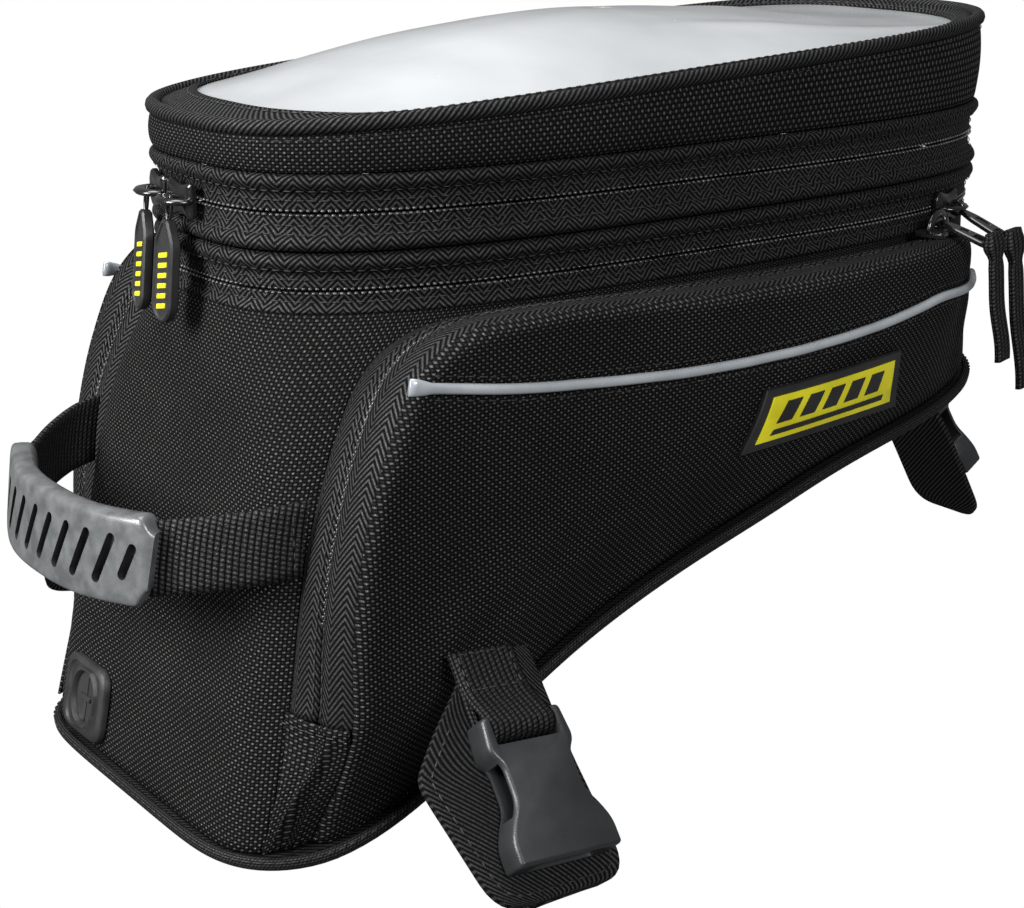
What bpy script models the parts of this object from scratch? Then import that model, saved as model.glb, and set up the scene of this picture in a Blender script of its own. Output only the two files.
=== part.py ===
"""Expandable saddle-shaped tank bag: fabric body, zipped lid, side pockets, handle and fixing flaps.

Frame: metres, +Z up, +X forward. The origin is on the underside of the bag floor, above the crest of
the saddle that it is made to sit on. The left side is +Y.
"""

import math

import bmesh
import bpy
from mathutils import Matrix, Vector

# Driving dimensions
TOP_HALF_LENGTH = 0.180
TOP_HALF_WIDTH = 0.0756
PLAN_POWER = 3.1
REAR_RAKE = 0.199
SIDE_FLARE = 0.07
EXPANSION_ZIP_Z = 0.1028
LID_ZIP_Z = 0.1296
LID_BAND_Z = 0.1430
LID_SLIDER_ARC = 0.1012
WALL = 0.0025
GAP = 0.0005

FLOOR_FRONT = 0.178
FLOOR_REAR = -0.218
FLOOR_CENTRE = -0.020
FLOOR_HALF_WIDTH = 0.098
FLOOR_THICKNESS = 0.003
BINDING_RADIUS = 0.0024

POCKET_HALF_WIDTH = 0.112
POCKET_FRONT_LENGTH = 0.184
POCKET_SWELL = 0.060
POCKET_FRONT_X = 0.148
DOOR_REAR = Vector((-0.1855, 0.0, 0.0))
DOOR_FRONT = Vector((0.104, 0.0, 0.0945))
DOOR_AXIS_Y = 0.113

WEBBING = 0.026
FLAP_LEAN = math.radians(43)
FRONT_FLAP_LEAN = math.radians(33)
BAR_DOWN = 0.0300
BAR_OUT = 0.0062
BAR_ASIDE = 0.0065

# Side view of the floor's underside: x, z
SADDLE = [(-0.218, -0.088), (-0.185, -0.085), (-0.150, -0.070), (-0.105, -0.040),
          (-0.060, -0.019), (0.000, 0.000), (0.065, 0.016), (0.180, 0.028)]

# Side view of the pocket gusset's two seams, from the rear floor corner over the top to the front: x, z
GUSSET_INNER = [(-0.209, -0.082), (-0.202, -0.058), (-0.1945, -0.033), (-0.189, -0.003), (-0.183, 0.024),
                (-0.172, 0.053), (-0.157, 0.076), (-0.137, 0.0880), (-0.105, 0.0915), (-0.050, 0.0915),
                (0.010, 0.0915), (0.070, 0.0910), (0.115, 0.0905), (0.148, 0.0895)]
GUSSET_OUTER = [(-0.192, -0.081), (-0.1865, -0.057), (-0.186, -0.033), (-0.1855, -0.003), (-0.1815, 0.027),
                (-0.173, 0.057), (-0.160, 0.083), (-0.140, 0.0965), (-0.105, 0.0985), (-0.050, 0.0955),
                (0.010, 0.0940), (0.070, 0.0950), (0.115, 0.0935), (0.148, 0.0895)]
PATCH_END = 2.0
DOOR_START = 3.1
DOOR_END = 11.75
GUSSET_END = 13.0

FABRIC = (0.012, 0.012, 0.013)
TWILL = (0.008, 0.008, 0.009)
TRIM = (0.006, 0.006, 0.006)
VINYL = (0.62, 0.65, 0.68)
REFLECTIVE = (0.45, 0.48, 0.50)
RUBBER = (0.010, 0.010, 0.011)
PLASTIC = (0.028, 0.030, 0.033)
GRIP = (0.16, 0.165, 0.17)
METAL = (0.03, 0.03, 0.032)
BOARD = (0.05, 0.05, 0.05)
YELLOW = (0.80, 0.72, 0.02)


# Scene and materials

def clear_scene():
    for item in list(bpy.data.objects):
        bpy.data.objects.remove(item, do_unlink=True)


def new_collection(name):
    collection = bpy.data.collections.new(name)
    bpy.context.scene.collection.children.link(collection)
    return collection


def material(name, colour, roughness, metallic=0.0):
    made = bpy.data.materials.get(name)
    if made is None:
        made = bpy.data.materials.new(name)
        made.use_nodes = True
        shader = made.node_tree.nodes["Principled BSDF"]
        shader.inputs["Base Color"].default_value = (*colour, 1.0)
        shader.inputs["Roughness"].default_value = roughness
        shader.inputs["Metallic"].default_value = metallic
    return made


def add_object(name, data, colour, roughness=0.8, metallic=0.0, parent=None, matrix=None):
    made = bpy.data.objects.new(name, data)
    PARTS.objects.link(made)
    if not data.materials:
        data.materials.append(material(name, colour, roughness, metallic))
    if parent is not None:
        made.parent = parent
    if matrix is not None:
        made.matrix_local = matrix
    return made


def add_pivot(name, origin, axis, down, parent=None):
    """Empty on a joint axis: local X is the axis, Y points down the hanging piece, Z is outward."""
    across = Vector(axis).normalized()
    along = Vector(down).normalized()
    outward = across.cross(along)
    rotation = Matrix((across, along, outward)).transposed().to_4x4()
    pivot = bpy.data.objects.new(name, None)
    PARTS.objects.link(pivot)
    world = Matrix.Translation(origin) @ rotation
    if parent is not None:
        pivot.parent = parent
        world = parent.matrix_world.inverted() @ world
    pivot.matrix_local = world
    bpy.context.view_layer.update()
    return pivot


# Shape rules

def ease(value):
    value = min(max(value, 0.0), 1.0)
    return value * value * (3 - 2 * value)


def spline(points, at):
    """Catmull-Rom point at a fractional index."""
    index = min(max(int(math.floor(at)), 0), len(points) - 2)
    step = at - index
    before, start, end, after = (points[min(max(index + shift, 0), len(points) - 1)] for shift in (-1, 0, 1, 2))
    result = []
    for a, b, c, d in zip(before, start, end, after):
        curve = (2 * a - 5 * b + 4 * c - d) * step ** 2 + (3 * b - a - 3 * c + d) * step ** 3
        result.append(0.5 * (2 * b + (c - a) * step + curve))
    return result


def saddle_height(x):
    """Height of the floor's underside."""
    for index in range(len(SADDLE) - 1):
        if x <= SADDLE[index + 1][0] or index == len(SADDLE) - 2:
            low, high = 0.0, 1.0
            for _ in range(20):
                middle = (low + high) / 2
                if spline(SADDLE, index + middle)[0] < x:
                    low = middle
                else:
                    high = middle
            return spline(SADDLE, index + low)[1]


def floor_level(x, lift):
    """Height of the surface that lies the given distance above the underside, along its normal."""
    step = 0.002
    slope = (saddle_height(x + step) - saddle_height(x - step)) / (2 * step)
    return saddle_height(x) + lift * math.sqrt(1 + slope * slope)


def plan_point(angle, front, rear, half_width, front_power, rear_power, centre=None):
    """Rounded plan outline; the angle is that of the outline's unit square, 0 at the front."""
    cosine, sine = math.cos(angle), math.sin(angle)
    power = front_power if cosine > 0 else rear_power
    reach = (abs(cosine) ** power + abs(sine) ** power) ** (-1 / power)
    middle = (front + rear) / 2 if centre is None else centre
    half_length = front - middle if cosine > 0 else middle - rear
    return middle + half_length * reach * cosine, half_width * reach * sine


def body_sizes(z):
    drop = max(EXPANSION_ZIP_Z - z, 0.0)
    rear = -TOP_HALF_LENGTH - REAR_RAKE * drop
    return rear, TOP_HALF_WIDTH + SIDE_FLARE * drop, PLAN_POWER + 6 * ease(drop / 0.08)


def body_point(angle, z, offset=0.0):
    rear, half_width, rear_power = body_sizes(z)
    x, y = plan_point(angle, TOP_HALF_LENGTH + offset, rear - offset, half_width + offset, PLAN_POWER, rear_power)
    return Vector((x, y, z))


def body_half_width(x, z):
    rear, half_width, rear_power = body_sizes(z)
    centre = (rear + TOP_HALF_LENGTH) / 2
    reach = abs(x - centre) / (TOP_HALF_LENGTH - centre)
    power = PLAN_POWER if x > centre else rear_power
    return half_width * max(1 - reach ** power, 0.0) ** (1 / power)


def floor_half_width(x):
    front = x > FLOOR_CENTRE
    reach = (x - FLOOR_CENTRE) / (FLOOR_FRONT - FLOOR_CENTRE if front else FLOOR_CENTRE - FLOOR_REAR)
    power = 2.8 if front else 6.0
    return FLOOR_HALF_WIDTH * max(1 - abs(reach) ** power, 0.0) ** (1 / power)


def floor_outline(angle, inset=0.0):
    return plan_point(angle, FLOOR_FRONT - inset, FLOOR_REAR + inset, FLOOR_HALF_WIDTH - inset, 2.8, 6.0, FLOOR_CENTRE)


def pocket_half_width(x, z):
    """Half width over the pockets: the floor's at its edge, swelling to the full width above it."""
    reach = max(x - FLOOR_CENTRE, 0.0) / POCKET_FRONT_LENGTH
    full = POCKET_HALF_WIDTH * max(1 - reach ** 3, 0.0) ** (1 / 3)
    low = floor_half_width(x) - GAP
    return low + (full - low) * ease((z - saddle_height(x)) / POCKET_SWELL)


def pocket_point(x, z, inset=0.0):
    """Point on the left pocket's outer surface, moved in along the plan normal."""
    step = 0.001
    slope = (pocket_half_width(x + step, z) - pocket_half_width(x - step, z)) / (2 * step)
    normal = Vector((-slope, 1.0, 0.0)).normalized()
    return Vector((x, pocket_half_width(x, z), z)) - normal * inset


def gusset_point(at, across, rise=0.0):
    """Point on the strip between body and pocket panel: across is 0 at the body, 1 at the panel."""
    inner_x, inner_z = spline(GUSSET_INNER, at)
    outer_x, outer_z = spline(GUSSET_OUTER, at)
    clearance = 0.0012 + 0.0045 * ease(PATCH_END - at)
    inner = Vector((inner_x, body_half_width(inner_x, inner_z) + clearance, inner_z))
    outer = pocket_point(outer_x, outer_z, WALL + 0.0014)
    before = Vector(spline(GUSSET_OUTER, at - 0.1))
    after = Vector(spline(GUSSET_OUTER, at + 0.1))
    run = (after - before).normalized()
    outward = Vector((-run.y, 0.0, run.x))
    swell = 0.0015 * 4 * across * (1 - across) + rise
    return inner.lerp(outer, across) + outward * swell


def lid_edge(x):
    return 0.1675 + 0.056 * x


# Mesh builders

def grid_mesh(name, rows, wrap=False):
    mesh = bpy.data.meshes.new(name)
    width = len(rows[0])
    vertices = [tuple(point) for row in rows for point in row]
    faces = []
    for row in range(len(rows) - 1):
        for column in range(width if wrap else width - 1):
            following = (column + 1) % width
            faces.append((row * width + column, row * width + following,
                          (row + 1) * width + following, (row + 1) * width + column))
    mesh.from_pydata(vertices, [], faces)
    return mesh


def add_shell(name, rows, thickness, colour, wrap=False, roughness=0.8, parent=None):
    """Open sheet through the rows with its thickness behind it; rows go up, columns go round."""
    mesh = grid_mesh(name, rows, wrap)
    if parent is not None:
        mesh.transform(parent.matrix_world.inverted())
    shell = add_object(name, mesh, colour, roughness, parent=parent)
    solidify = shell.modifiers.new("thickness", 'SOLIDIFY')
    solidify.thickness = thickness
    solidify.offset = -1.0
    return shell


def mirrored(rows):
    return [[Vector((point[0], -point[1], point[2])) for point in reversed(row)] for row in rows]


def for_side(rows, side):
    return rows if side > 0 else mirrored(rows)


def add_ring(name, low, high, offset, thickness, colour, count=40):
    """Band round the body between two heights given as functions of x."""
    rows = []
    for height in (low, high):
        row = []
        for index in range(count):
            point = body_point(2 * math.pi * index / count, EXPANSION_ZIP_Z, offset)
            point.z = height(point.x)
            row.append(point)
        rows.append(row)
    return add_shell(name, rows, thickness, colour, wrap=True)


def add_tube(name, points, radius, colour, cyclic=False, roughness=0.6, parent=None):
    curve = bpy.data.curves.new(name, 'CURVE')
    curve.dimensions = '3D'
    curve.bevel_depth = radius
    curve.bevel_resolution = 1
    curve.use_fill_caps = not cyclic
    line = curve.splines.new('POLY')
    line.points.add(len(points) - 1)
    for target, point in zip(line.points, points):
        target.co = (*point, 1.0)
    line.use_cyclic_u = cyclic
    tube = add_object(name, curve, colour, roughness, parent=parent)
    if parent is not None:
        tube.matrix_parent_inverse = parent.matrix_world.inverted()
    return tube


def outline_mesh(name, outlines, half_depth):
    """Extruded flat outline, with holes where an outline lies inside another."""
    curve = bpy.data.curves.new(name, 'CURVE')
    curve.dimensions = '2D'
    curve.fill_mode = 'BOTH'
    curve.extrude = half_depth
    curve.resolution_u = 1
    for outline in outlines:
        line = curve.splines.new('POLY')
        line.points.add(len(outline) - 1)
        for target, point in zip(line.points, outline):
            target.co = (point[0], point[1], 0.0, 1.0)
        line.use_cyclic_u = True
    holder = bpy.data.objects.new(name, curve)
    PARTS.objects.link(holder)
    mesh = evaluated_mesh(holder, name)
    bpy.data.objects.remove(holder)
    return mesh


def evaluated_mesh(holder, name):
    bpy.context.view_layer.update()
    graph = bpy.context.evaluated_depsgraph_get()
    mesh = bpy.data.meshes.new_from_object(holder.evaluated_get(graph))
    mesh.name = name
    work = bmesh.new()
    work.from_mesh(mesh)
    bmesh.ops.remove_doubles(work, verts=work.verts, dist=0.00002)
    bmesh.ops.recalc_face_normals(work, faces=work.faces)
    work.to_mesh(mesh)
    work.free()
    return mesh


def box_mesh(name, low, high):
    mesh = bpy.data.meshes.new(name)
    work = bmesh.new()
    bmesh.ops.create_cube(work, size=1.0)
    middle = (Vector(low) + Vector(high)) / 2
    size = Vector(high) - Vector(low)
    bmesh.ops.transform(work, matrix=Matrix.Translation(middle) @ Matrix.Diagonal((*size, 1.0)), verts=work.verts)
    work.to_mesh(mesh)
    work.free()
    return mesh


def combined(name, first, second, operation):
    """Exact union or difference of two closed meshes."""
    base = bpy.data.objects.new(name, first)
    tool = bpy.data.objects.new(name + "_tool", second)
    for item in (base, tool):
        CUTTERS.objects.link(item)
    cut = base.modifiers.new("cut", 'BOOLEAN')
    cut.operation = operation
    cut.solver = 'EXACT'
    cut.object = tool
    mesh = evaluated_mesh(base, name)
    bpy.data.objects.remove(base)
    bpy.data.objects.remove(tool)
    return mesh


def arc(centre, radius, start, end, count):
    """Points of an arc; angles in degrees."""
    points = []
    for index in range(count):
        angle = math.radians(start + (end - start) * index / (count - 1))
        points.append((centre[0] + radius * math.cos(angle), centre[1] + radius * math.sin(angle)))
    return points


# Floor

def station_rows(outline, height, spread=(-1.0, -0.6, -0.2, 0.2, 0.6, 1.0), first=10, last=170, step=5):
    """Rows across a rounded plate, from the front to the rear."""
    rows = []
    for degrees in range(first, last + 1, step):
        x, half_width = outline(math.radians(degrees))
        rows.append([Vector((x, share * half_width, height(x, share))) for share in spread])
    return rows


def build_floor():
    underside = station_rows(floor_outline, lambda x, share: saddle_height(x))
    add_shell("base_panel", [list(reversed(row)) for row in underside], FLOOR_THICKNESS, TWILL)

    def board_outline(angle):
        return floor_outline(angle, 0.0215)

    def board_height(x, share):
        return floor_level(x, FLOOR_THICKNESS + 0.0034)

    board = station_rows(board_outline, board_height)
    add_shell("base_board", board, 0.002, BOARD, roughness=0.6)
    edge = []
    for index in range(48):
        x, y = floor_outline(2 * math.pi * index / 48, -BINDING_RADIUS - 0.0012)
        edge.append((x, y, saddle_height(x) + FLOOR_THICKNESS / 2))
    add_tube("base_binding", edge, BINDING_RADIUS, TRIM, cyclic=True)


# Body walls, standing on the floor and ending under the expansion zip

def wall_rows(start, end, columns, foot=0.0016, top=0.0938, rows=6):
    result = []
    for row in range(rows + 1):
        share = row / rows
        line = []
        for column in range(columns + 1):
            angle = math.radians(start + (end - start) * column / columns)
            low = 0.0
            for _ in range(12):
                low = floor_level(body_point(angle, low).x, FLOOR_THICKNESS + foot)
            line.append(body_point(angle, low + (top - low) * share))
        result.append(line)
    return result


def build_walls():
    add_shell("rear_panel", wall_rows(137.6, 222.4, 10), WALL, FABRIC)
    add_shell("front_panel", wall_rows(-40, 40, 8, rows=3), WALL, FABRIC)
    add_shell("left_wall", wall_rows(40.8, 136.0, 10, rows=3), WALL, FABRIC)
    add_shell("right_wall", wall_rows(224.0, 319.2, 10, rows=3), WALL, FABRIC)


# Zip bands, expansion gusset and lid

def level(height):
    return lambda x: height


def build_bands():
    add_ring("expansion_zip_lower_tape", level(0.0944), level(EXPANSION_ZIP_Z - 0.0003), 0.0004, 0.002, TWILL)
    add_ring("expansion_zip_upper_tape", level(EXPANSION_ZIP_Z + 0.0003), level(0.1160), 0.0010, 0.002, TWILL)
    add_ring("lid_zip_lower_tape", level(0.1165), level(LID_ZIP_Z - 0.0003), 0.0010, 0.002, TWILL)
    add_ring("expansion_gusset", level(0.0960), level(0.1120), -0.0040, 0.0015, FABRIC)


def build_lid():
    add_ring("lid_zip_upper_tape", level(LID_ZIP_Z + 0.0003), level(LID_BAND_Z), 0.0010, 0.002, TWILL)
    add_ring("lid_band", level(LID_BAND_Z + 0.0005), lambda x: lid_edge(x) - 0.0030, 0.0016, WALL, FABRIC)

    def edge_line(angle, offset):
        point = body_point(angle, EXPANSION_ZIP_Z, offset)
        point.z = lid_edge(point.x)
        return point

    piping = [edge_line(2 * math.pi * index / 48, 0.0016) for index in range(48)]
    add_tube("lid_piping", piping, 0.0024, TRIM, cyclic=True)

    def window_outline(angle):
        return body_point(angle, EXPANSION_ZIP_Z, -0.0016).xy

    def dome_height(x, share):
        half_width = max(body_half_width(x, EXPANSION_ZIP_Z), 0.001)
        reach = ((abs(x) / TOP_HALF_LENGTH) ** PLAN_POWER + (abs(share) * half_width / TOP_HALF_WIDTH) ** PLAN_POWER)
        crown = 0.0195 - 0.45 * (x + 0.06) ** 2
        return lid_edge(x) + crown * max(1 - min(reach, 1.0) ** 0.65, 0.0)

    spread = (-1.0, -0.8, -0.5, -0.17, 0.17, 0.5, 0.8, 1.0)
    add_shell("map_window", station_rows(window_outline, dome_height, spread), 0.0008, VINYL, roughness=0.1)

    def backing_outline(angle):
        return body_point(angle, EXPANSION_ZIP_Z, -0.0026).xy

    def backing_height(x, share):
        return lid_edge(x) - 0.0035

    add_shell("map_pocket_back", station_rows(backing_outline, backing_height), 0.0015, FABRIC)
    hinge = []
    for height in (LID_ZIP_Z - 0.007, LID_ZIP_Z + 0.007):
        row = []
        for index in range(9):
            point = body_point(math.radians(-24 + 6 * index), EXPANSION_ZIP_Z, 0.0024)
            point.z = height
            row.append(point)
        hinge.append(row)
    add_shell("lid_hinge_strip", hinge, 0.001, TWILL)


# Side pockets

def gusset_rows(start, end, steps, low, high):
    rows = []
    for index in range(steps + 1):
        at = start + (end - start) * index / steps
        span = (low, (low + high) / 2, high)
        rows.append([gusset_point(at, share) for share in reversed(span)])
    return rows


def build_corner_patch(side, name):
    rows = gusset_rows(0.0, PATCH_END - 0.02, 4, 0.0, 1.0)
    add_shell(name, for_side(rows, side), 0.002, FABRIC)


def build_gusset(side, name):
    """Body half of the strip; it takes the full width where the zip doesn't reach."""
    rows = gusset_rows(PATCH_END + 0.02, DOOR_START - 0.02, 2, 0.0, 1.0)
    rows += gusset_rows(DOOR_START, DOOR_END, 20, 0.0, 0.47)
    rows += gusset_rows(DOOR_END + 0.03, GUSSET_END, 3, 0.0, 1.0)
    add_shell(name, for_side(rows, side), 0.002, TWILL)


def build_door_gusset(side, name, parent):
    rows = gusset_rows(DOOR_START + 0.06, DOOR_END - 0.06, 20, 0.53, 1.0)
    add_shell(name, for_side(rows, side), 0.002, TWILL, parent=parent)


def door_line(share):
    return DOOR_REAR.lerp(DOOR_FRONT, share)


def build_door(side, name, parent):
    """Upper part of the panel, which opens when its zip is undone."""
    columns = []
    steps = 18
    for index in range(steps + 1):
        share = 0.012 + 0.976 * index / steps
        edge_x, edge_z = spline(GUSSET_OUTER, DOOR_START + (DOOR_END - DOOR_START) * share)
        along = (edge_x - DOOR_REAR.x) / (DOOR_FRONT.x - DOOR_REAR.x)
        low = door_line(0.5 * share + 0.5 * along)
        column = []
        for height in (0.0, 0.33, 0.66, 1.0):
            x = low.x + (edge_x - low.x) * height
            z = low.z + 0.0006 + (edge_z - low.z - 0.0006) * height
            column.append(pocket_point(x, z))
        columns.append(column)
    rows = [[column[row] for column in reversed(columns)] for row in range(4)]
    add_shell(name, for_side(rows, side), WALL, FABRIC, parent=parent)


def build_skirt(side, name):
    """Lower and front part of the panel, sewn to the floor."""
    columns = []
    fold = [door_line(index / 12) for index in range(13)]
    tops = [(point.x, point.z - 0.0006) for point in fold]
    tops[0] = (tops[0][0], -0.0030)
    tops += [tuple(spline(GUSSET_OUTER, at)) for at in (DOOR_END + 0.03, 12.0, 12.5, 13.0)]
    for top_x, top_z in tops:
        foot_x = min(top_x, POCKET_FRONT_X)
        foot_z = floor_level(foot_x, FLOOR_THICKNESS + 0.0016)
        column = []
        for share in (0.0, 0.3, 0.65, 1.0):
            column.append(pocket_point(foot_x + (top_x - foot_x) * share, foot_z + (top_z - foot_z) * share))
        columns.append(column)
    rows = [[column[row] for column in reversed(columns)] for row in range(4)]
    add_shell(name, for_side(rows, side), WALL, FABRIC)


def build_piping(side, name, parent):
    points = []
    for index in range(11):
        x = -0.165 + 0.0185 * index
        z = 0.0692 + 0.62 * (x + 0.015) ** 2 - 0.0012
        point = pocket_point(x, z, -0.0026)
        points.append((point.x, side * point.y, point.z))
    add_tube(name, points, 0.0016, REFLECTIVE, roughness=0.3, parent=parent)


def build_badge(side, name):
    """Raised parallelogram on the panel."""
    rows = []
    for share in (0.0, 0.33, 0.67, 1.0):
        row = []
        for index in range(5):
            x = 0.0655 - 0.0205 * index + 0.004 * share
            z = 0.0325 + 0.0255 * share + 0.0015 * (4 - index) / 4
            row.append(pocket_point(x, z, -0.0030))
        rows.append(row)
    add_shell(name, for_side(rows, side), 0.002, YELLOW, roughness=0.5)


def build_pocket(side, prefix):
    line = (DOOR_FRONT - DOOR_REAR).normalized()
    axis = Vector((line.x, 0.0, line.z)) * -side
    origin = Vector((DOOR_REAR.x, side * DOOR_AXIS_Y, DOOR_REAR.z))
    rising = Vector((-line.z, 0.0, line.x))
    pivot = add_pivot(prefix + "_pocket_pivot", origin, axis, rising)
    build_corner_patch(side, prefix + "_corner_patch")
    build_gusset(side, prefix + "_pocket_gusset")
    build_door_gusset(side, prefix + "_door_gusset", pivot)
    build_door(side, prefix + "_pocket_door", pivot)
    build_skirt(side, prefix + "_pocket_skirt")
    build_piping(side, prefix + "_reflective_piping", pivot)
    build_badge(side, prefix + "_badge")


# Zip sliders and pulls: local X along the zip, Y down the pull, Z outward from the tape

SLIDER_BAR = 0.0066


def slider_mesh():
    plate = box_mesh("zip_slider", (-0.007, -0.005, 0.0008), (0.007, 0.005, 0.0026))
    profile = [(-0.006, 0.0014), (0.006, 0.0014), (0.006, SLIDER_BAR - 0.001), (0.0045, SLIDER_BAR + 0.0009),
               (-0.0045, SLIDER_BAR + 0.0009), (-0.006, SLIDER_BAR - 0.001)]
    eye = [(-0.0042, 0.0022), (0.0042, 0.0022), (0.0042, SLIDER_BAR - 0.0009), (-0.0042, SLIDER_BAR - 0.0009)]
    bridge = outline_mesh("bridge", [profile, eye], 0.0009)
    bridge.transform(Matrix.Rotation(math.radians(90), 4, 'X'))
    return combined("zip_slider", plate, bridge, 'UNION')


def ring_mesh():
    """Eye of a pull, round the slider's bar, which is the local origin."""
    ring = outline_mesh("eye", [arc((0, 0), 0.0034, 0, 330, 12), arc((0, 0), 0.0018, 0, 315, 8)], 0.0011)
    ring.transform(Matrix.Rotation(math.radians(90), 4, 'Y') @ Matrix.Rotation(math.radians(90), 4, 'Z'))
    return ring


def rubber_pull_mesh():
    tab = outline_mesh("tab", [[(-0.0022, 0.0028), (0.0022, 0.0028), (0.0022, 0.011), (0.0062, 0.015),
                                (0.0068, 0.040), (0.0045, 0.0425), (-0.0045, 0.0425), (-0.0068, 0.040),
                                (-0.0062, 0.015), (-0.0022, 0.011)]], 0.0016)
    return combined("rubber_pull", ring_mesh(), tab, 'UNION')


def metal_pull_mesh(length):
    tab = outline_mesh("tab", [[(-0.0016, 0.0028), (0.0016, 0.0028), (0.0038, 0.010), (0.0044, length),
                                (-0.0044, length), (-0.0038, 0.010)]], 0.0008)
    return combined("metal_pull", ring_mesh(), tab, 'UNION')


def add_slider(name, origin, along, outward, lean, pull_name, pull_mesh, parent=None):
    """Slider on a tape and its pull, which swings about the slider's bar."""
    out = Vector(outward).normalized()
    across = Vector(along).normalized()
    down = out.cross(across)
    frame = add_pivot(name + "_pivot", origin, across, down, parent)
    add_object(name, slider_mesh(), METAL, 0.35, 0.8, parent=frame)
    bar = frame.matrix_world @ Vector((0.0, 0.0, SLIDER_BAR))
    horizontal = Vector((out.x, out.y, 0.0)).normalized() if abs(out.z) < 0.9 else Vector(lean[1]).normalized()
    angle = math.radians(lean[0])
    hang = horizontal * math.sin(angle) - Vector((0, 0, 1)) * math.cos(angle)
    swing = horizontal.cross(Vector((0, 0, 1)))
    pivot = add_pivot(pull_name + "_pivot", bar, swing, hang, frame)
    add_object(pull_name, pull_mesh, RUBBER, 0.5, parent=pivot)
    return pivot


def add_tail(name, pivot, start, lean, length, lean_before):
    """Webbing tail tied in the end of a metal pull."""
    tail = box_mesh(name, (-0.0055, start, -0.0014), (0.0055, start + length, 0.0014))
    turn = Matrix.Translation((0, start, 0)) @ Matrix.Rotation(math.radians(lean - lean_before), 4, 'X')
    tail.transform(turn @ Matrix.Translation((0, -start, 0)))
    add_object(name, tail, TRIM, 0.9, parent=pivot)


def build_sliders():
    for name, angle in (("left", 168.3), ("right", 180.0)):
        surface = Vector((-0.0816 + LID_SLIDER_ARC * math.cos(math.radians(angle)),
                          LID_SLIDER_ARC * math.sin(math.radians(angle)), LID_ZIP_Z))
        outward = Vector((math.cos(math.radians(angle)), math.sin(math.radians(angle)), 0.0))
        along = Vector((0, 0, 1)).cross(outward)
        add_slider("lid_slider_" + name, surface, along, outward, (6, None), "lid_pull_" + name, rubber_pull_mesh())
    corner = body_point(math.radians(-50), EXPANSION_ZIP_Z, 0.001)
    ahead = body_point(math.radians(-46), EXPANSION_ZIP_Z, 0.001) - body_point(math.radians(-54), EXPANSION_ZIP_Z, 0.001)
    outward = ahead.cross(Vector((0, 0, 1)))
    pull_lean = 66
    pivot = add_slider("expansion_slider", corner, ahead, outward, (pull_lean, None),
                       "expansion_pull", metal_pull_mesh(0.027))
    add_tail("expansion_pull_tail", pivot, 0.0292, 8, 0.060, pull_lean)
    for side, prefix in ((1, "left"), (-1, "right")):
        here = gusset_point(11.95, 0.5, 0.0008)
        along = (gusset_point(12.1, 0.5) - gusset_point(11.8, 0.5)) * side
        along.z = 0.0
        outward = Vector((-along.y, along.x, 0.0)) * (1 if side > 0 else -1)
        origin = Vector((here.x, side * here.y, here.z))
        along = Vector((along.x, side * along.y, 0.0))
        outward = Vector((outward.x, side * outward.y, 0.0))
        pivot = add_slider(prefix + "_pocket_slider", origin, along, (0, 0, 1), (72, outward),
                           prefix + "_pocket_pull", metal_pull_mesh(0.024))
        add_tail(prefix + "_pull_tail", pivot, 0.0262, 8, 0.046, 72)


# Carry handle

def handle_path():
    """Half of the strap's centre line, from the left seam to the middle of the grip: x, y, z."""
    return [(-0.1870, 0.0810, 0.0275), (-0.1990, 0.0772, 0.0262), (-0.2130, 0.0675, 0.0240),
            (-0.2240, 0.0570, 0.0220), (-0.2300, 0.0495, 0.0210), (-0.2385, 0.0260, 0.0200),
            (-0.2410, 0.0000, 0.0200)]


def build_handle():
    half = [Vector(point) for point in handle_path()]
    line = half + [Vector((point.x, -point.y, point.z)) for point in reversed(half[:-1])]
    pivot = add_pivot("handle_pivot", (-0.187, 0.0, 0.0275), (0, 1, 0), (-1, 0, 0))
    rows = []
    for share in (-0.5, 0.5):
        rows.append([point + Vector((0.004 * share, 0, WEBBING * share)) for point in line])
    add_shell("handle_webbing", rows, 0.0018, TRIM, parent=pivot)
    grip_line = [spline([tuple(p) for p in line], 3.6 + 4.8 * index / 10) for index in range(11)]
    outer = []
    inner = []
    for index, centre in enumerate(grip_line):
        centre = Vector(centre)
        ahead = Vector(grip_line[min(index + 1, 10)]) - Vector(grip_line[max(index - 1, 0)])
        normal = Vector((ahead.y, -ahead.x, 0.0)).normalized()
        swell = 1.0 - 0.25 * abs(index - 5) / 5
        outer.append(section_ring(centre, normal, 0.0062 * swell, 0.0150, 0.0009))
        inner.append(section_ring(centre, normal, 0.0030, 0.0143, 0.0009))
    add_sleeve("handle_grip", outer, inner, GRIP, pivot)


def section_ring(centre, normal, half_depth, half_height, shift):
    """Rounded rectangle of ten points across a path."""
    corner = 0.6
    outline = [(1, -corner), (1, corner), (corner, 1), (-corner, 1), (-1, corner),
               (-1, -corner), (-corner, -1), (corner, -1)]
    points = []
    for depth, height in outline:
        tilt = Vector((0.004 * height * 0.5, 0, half_height * height))
        points.append(centre + normal * (depth * half_depth - shift) + tilt)
    return points


def add_sleeve(name, outer, inner, colour, parent):
    """Closed sleeve between an outer and an inner run of rings."""
    count = len(outer[0])
    loop = outer + list(reversed(inner))
    mesh = bpy.data.meshes.new(name)
    work = bmesh.new()
    rings = [[work.verts.new(point) for point in ring] for ring in loop]
    for index, ring in enumerate(rings):
        following = rings[(index + 1) % len(rings)]
        for corner in range(count):
            beside = (corner + 1) % count
            work.faces.new((ring[corner], ring[beside], following[beside], following[corner]))
    bmesh.ops.recalc_face_normals(work, faces=work.faces)
    work.to_mesh(mesh)
    work.free()
    mesh.transform(parent.matrix_world.inverted())
    add_object(name, mesh, colour, 0.5, parent=parent)


# Cable port

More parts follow.
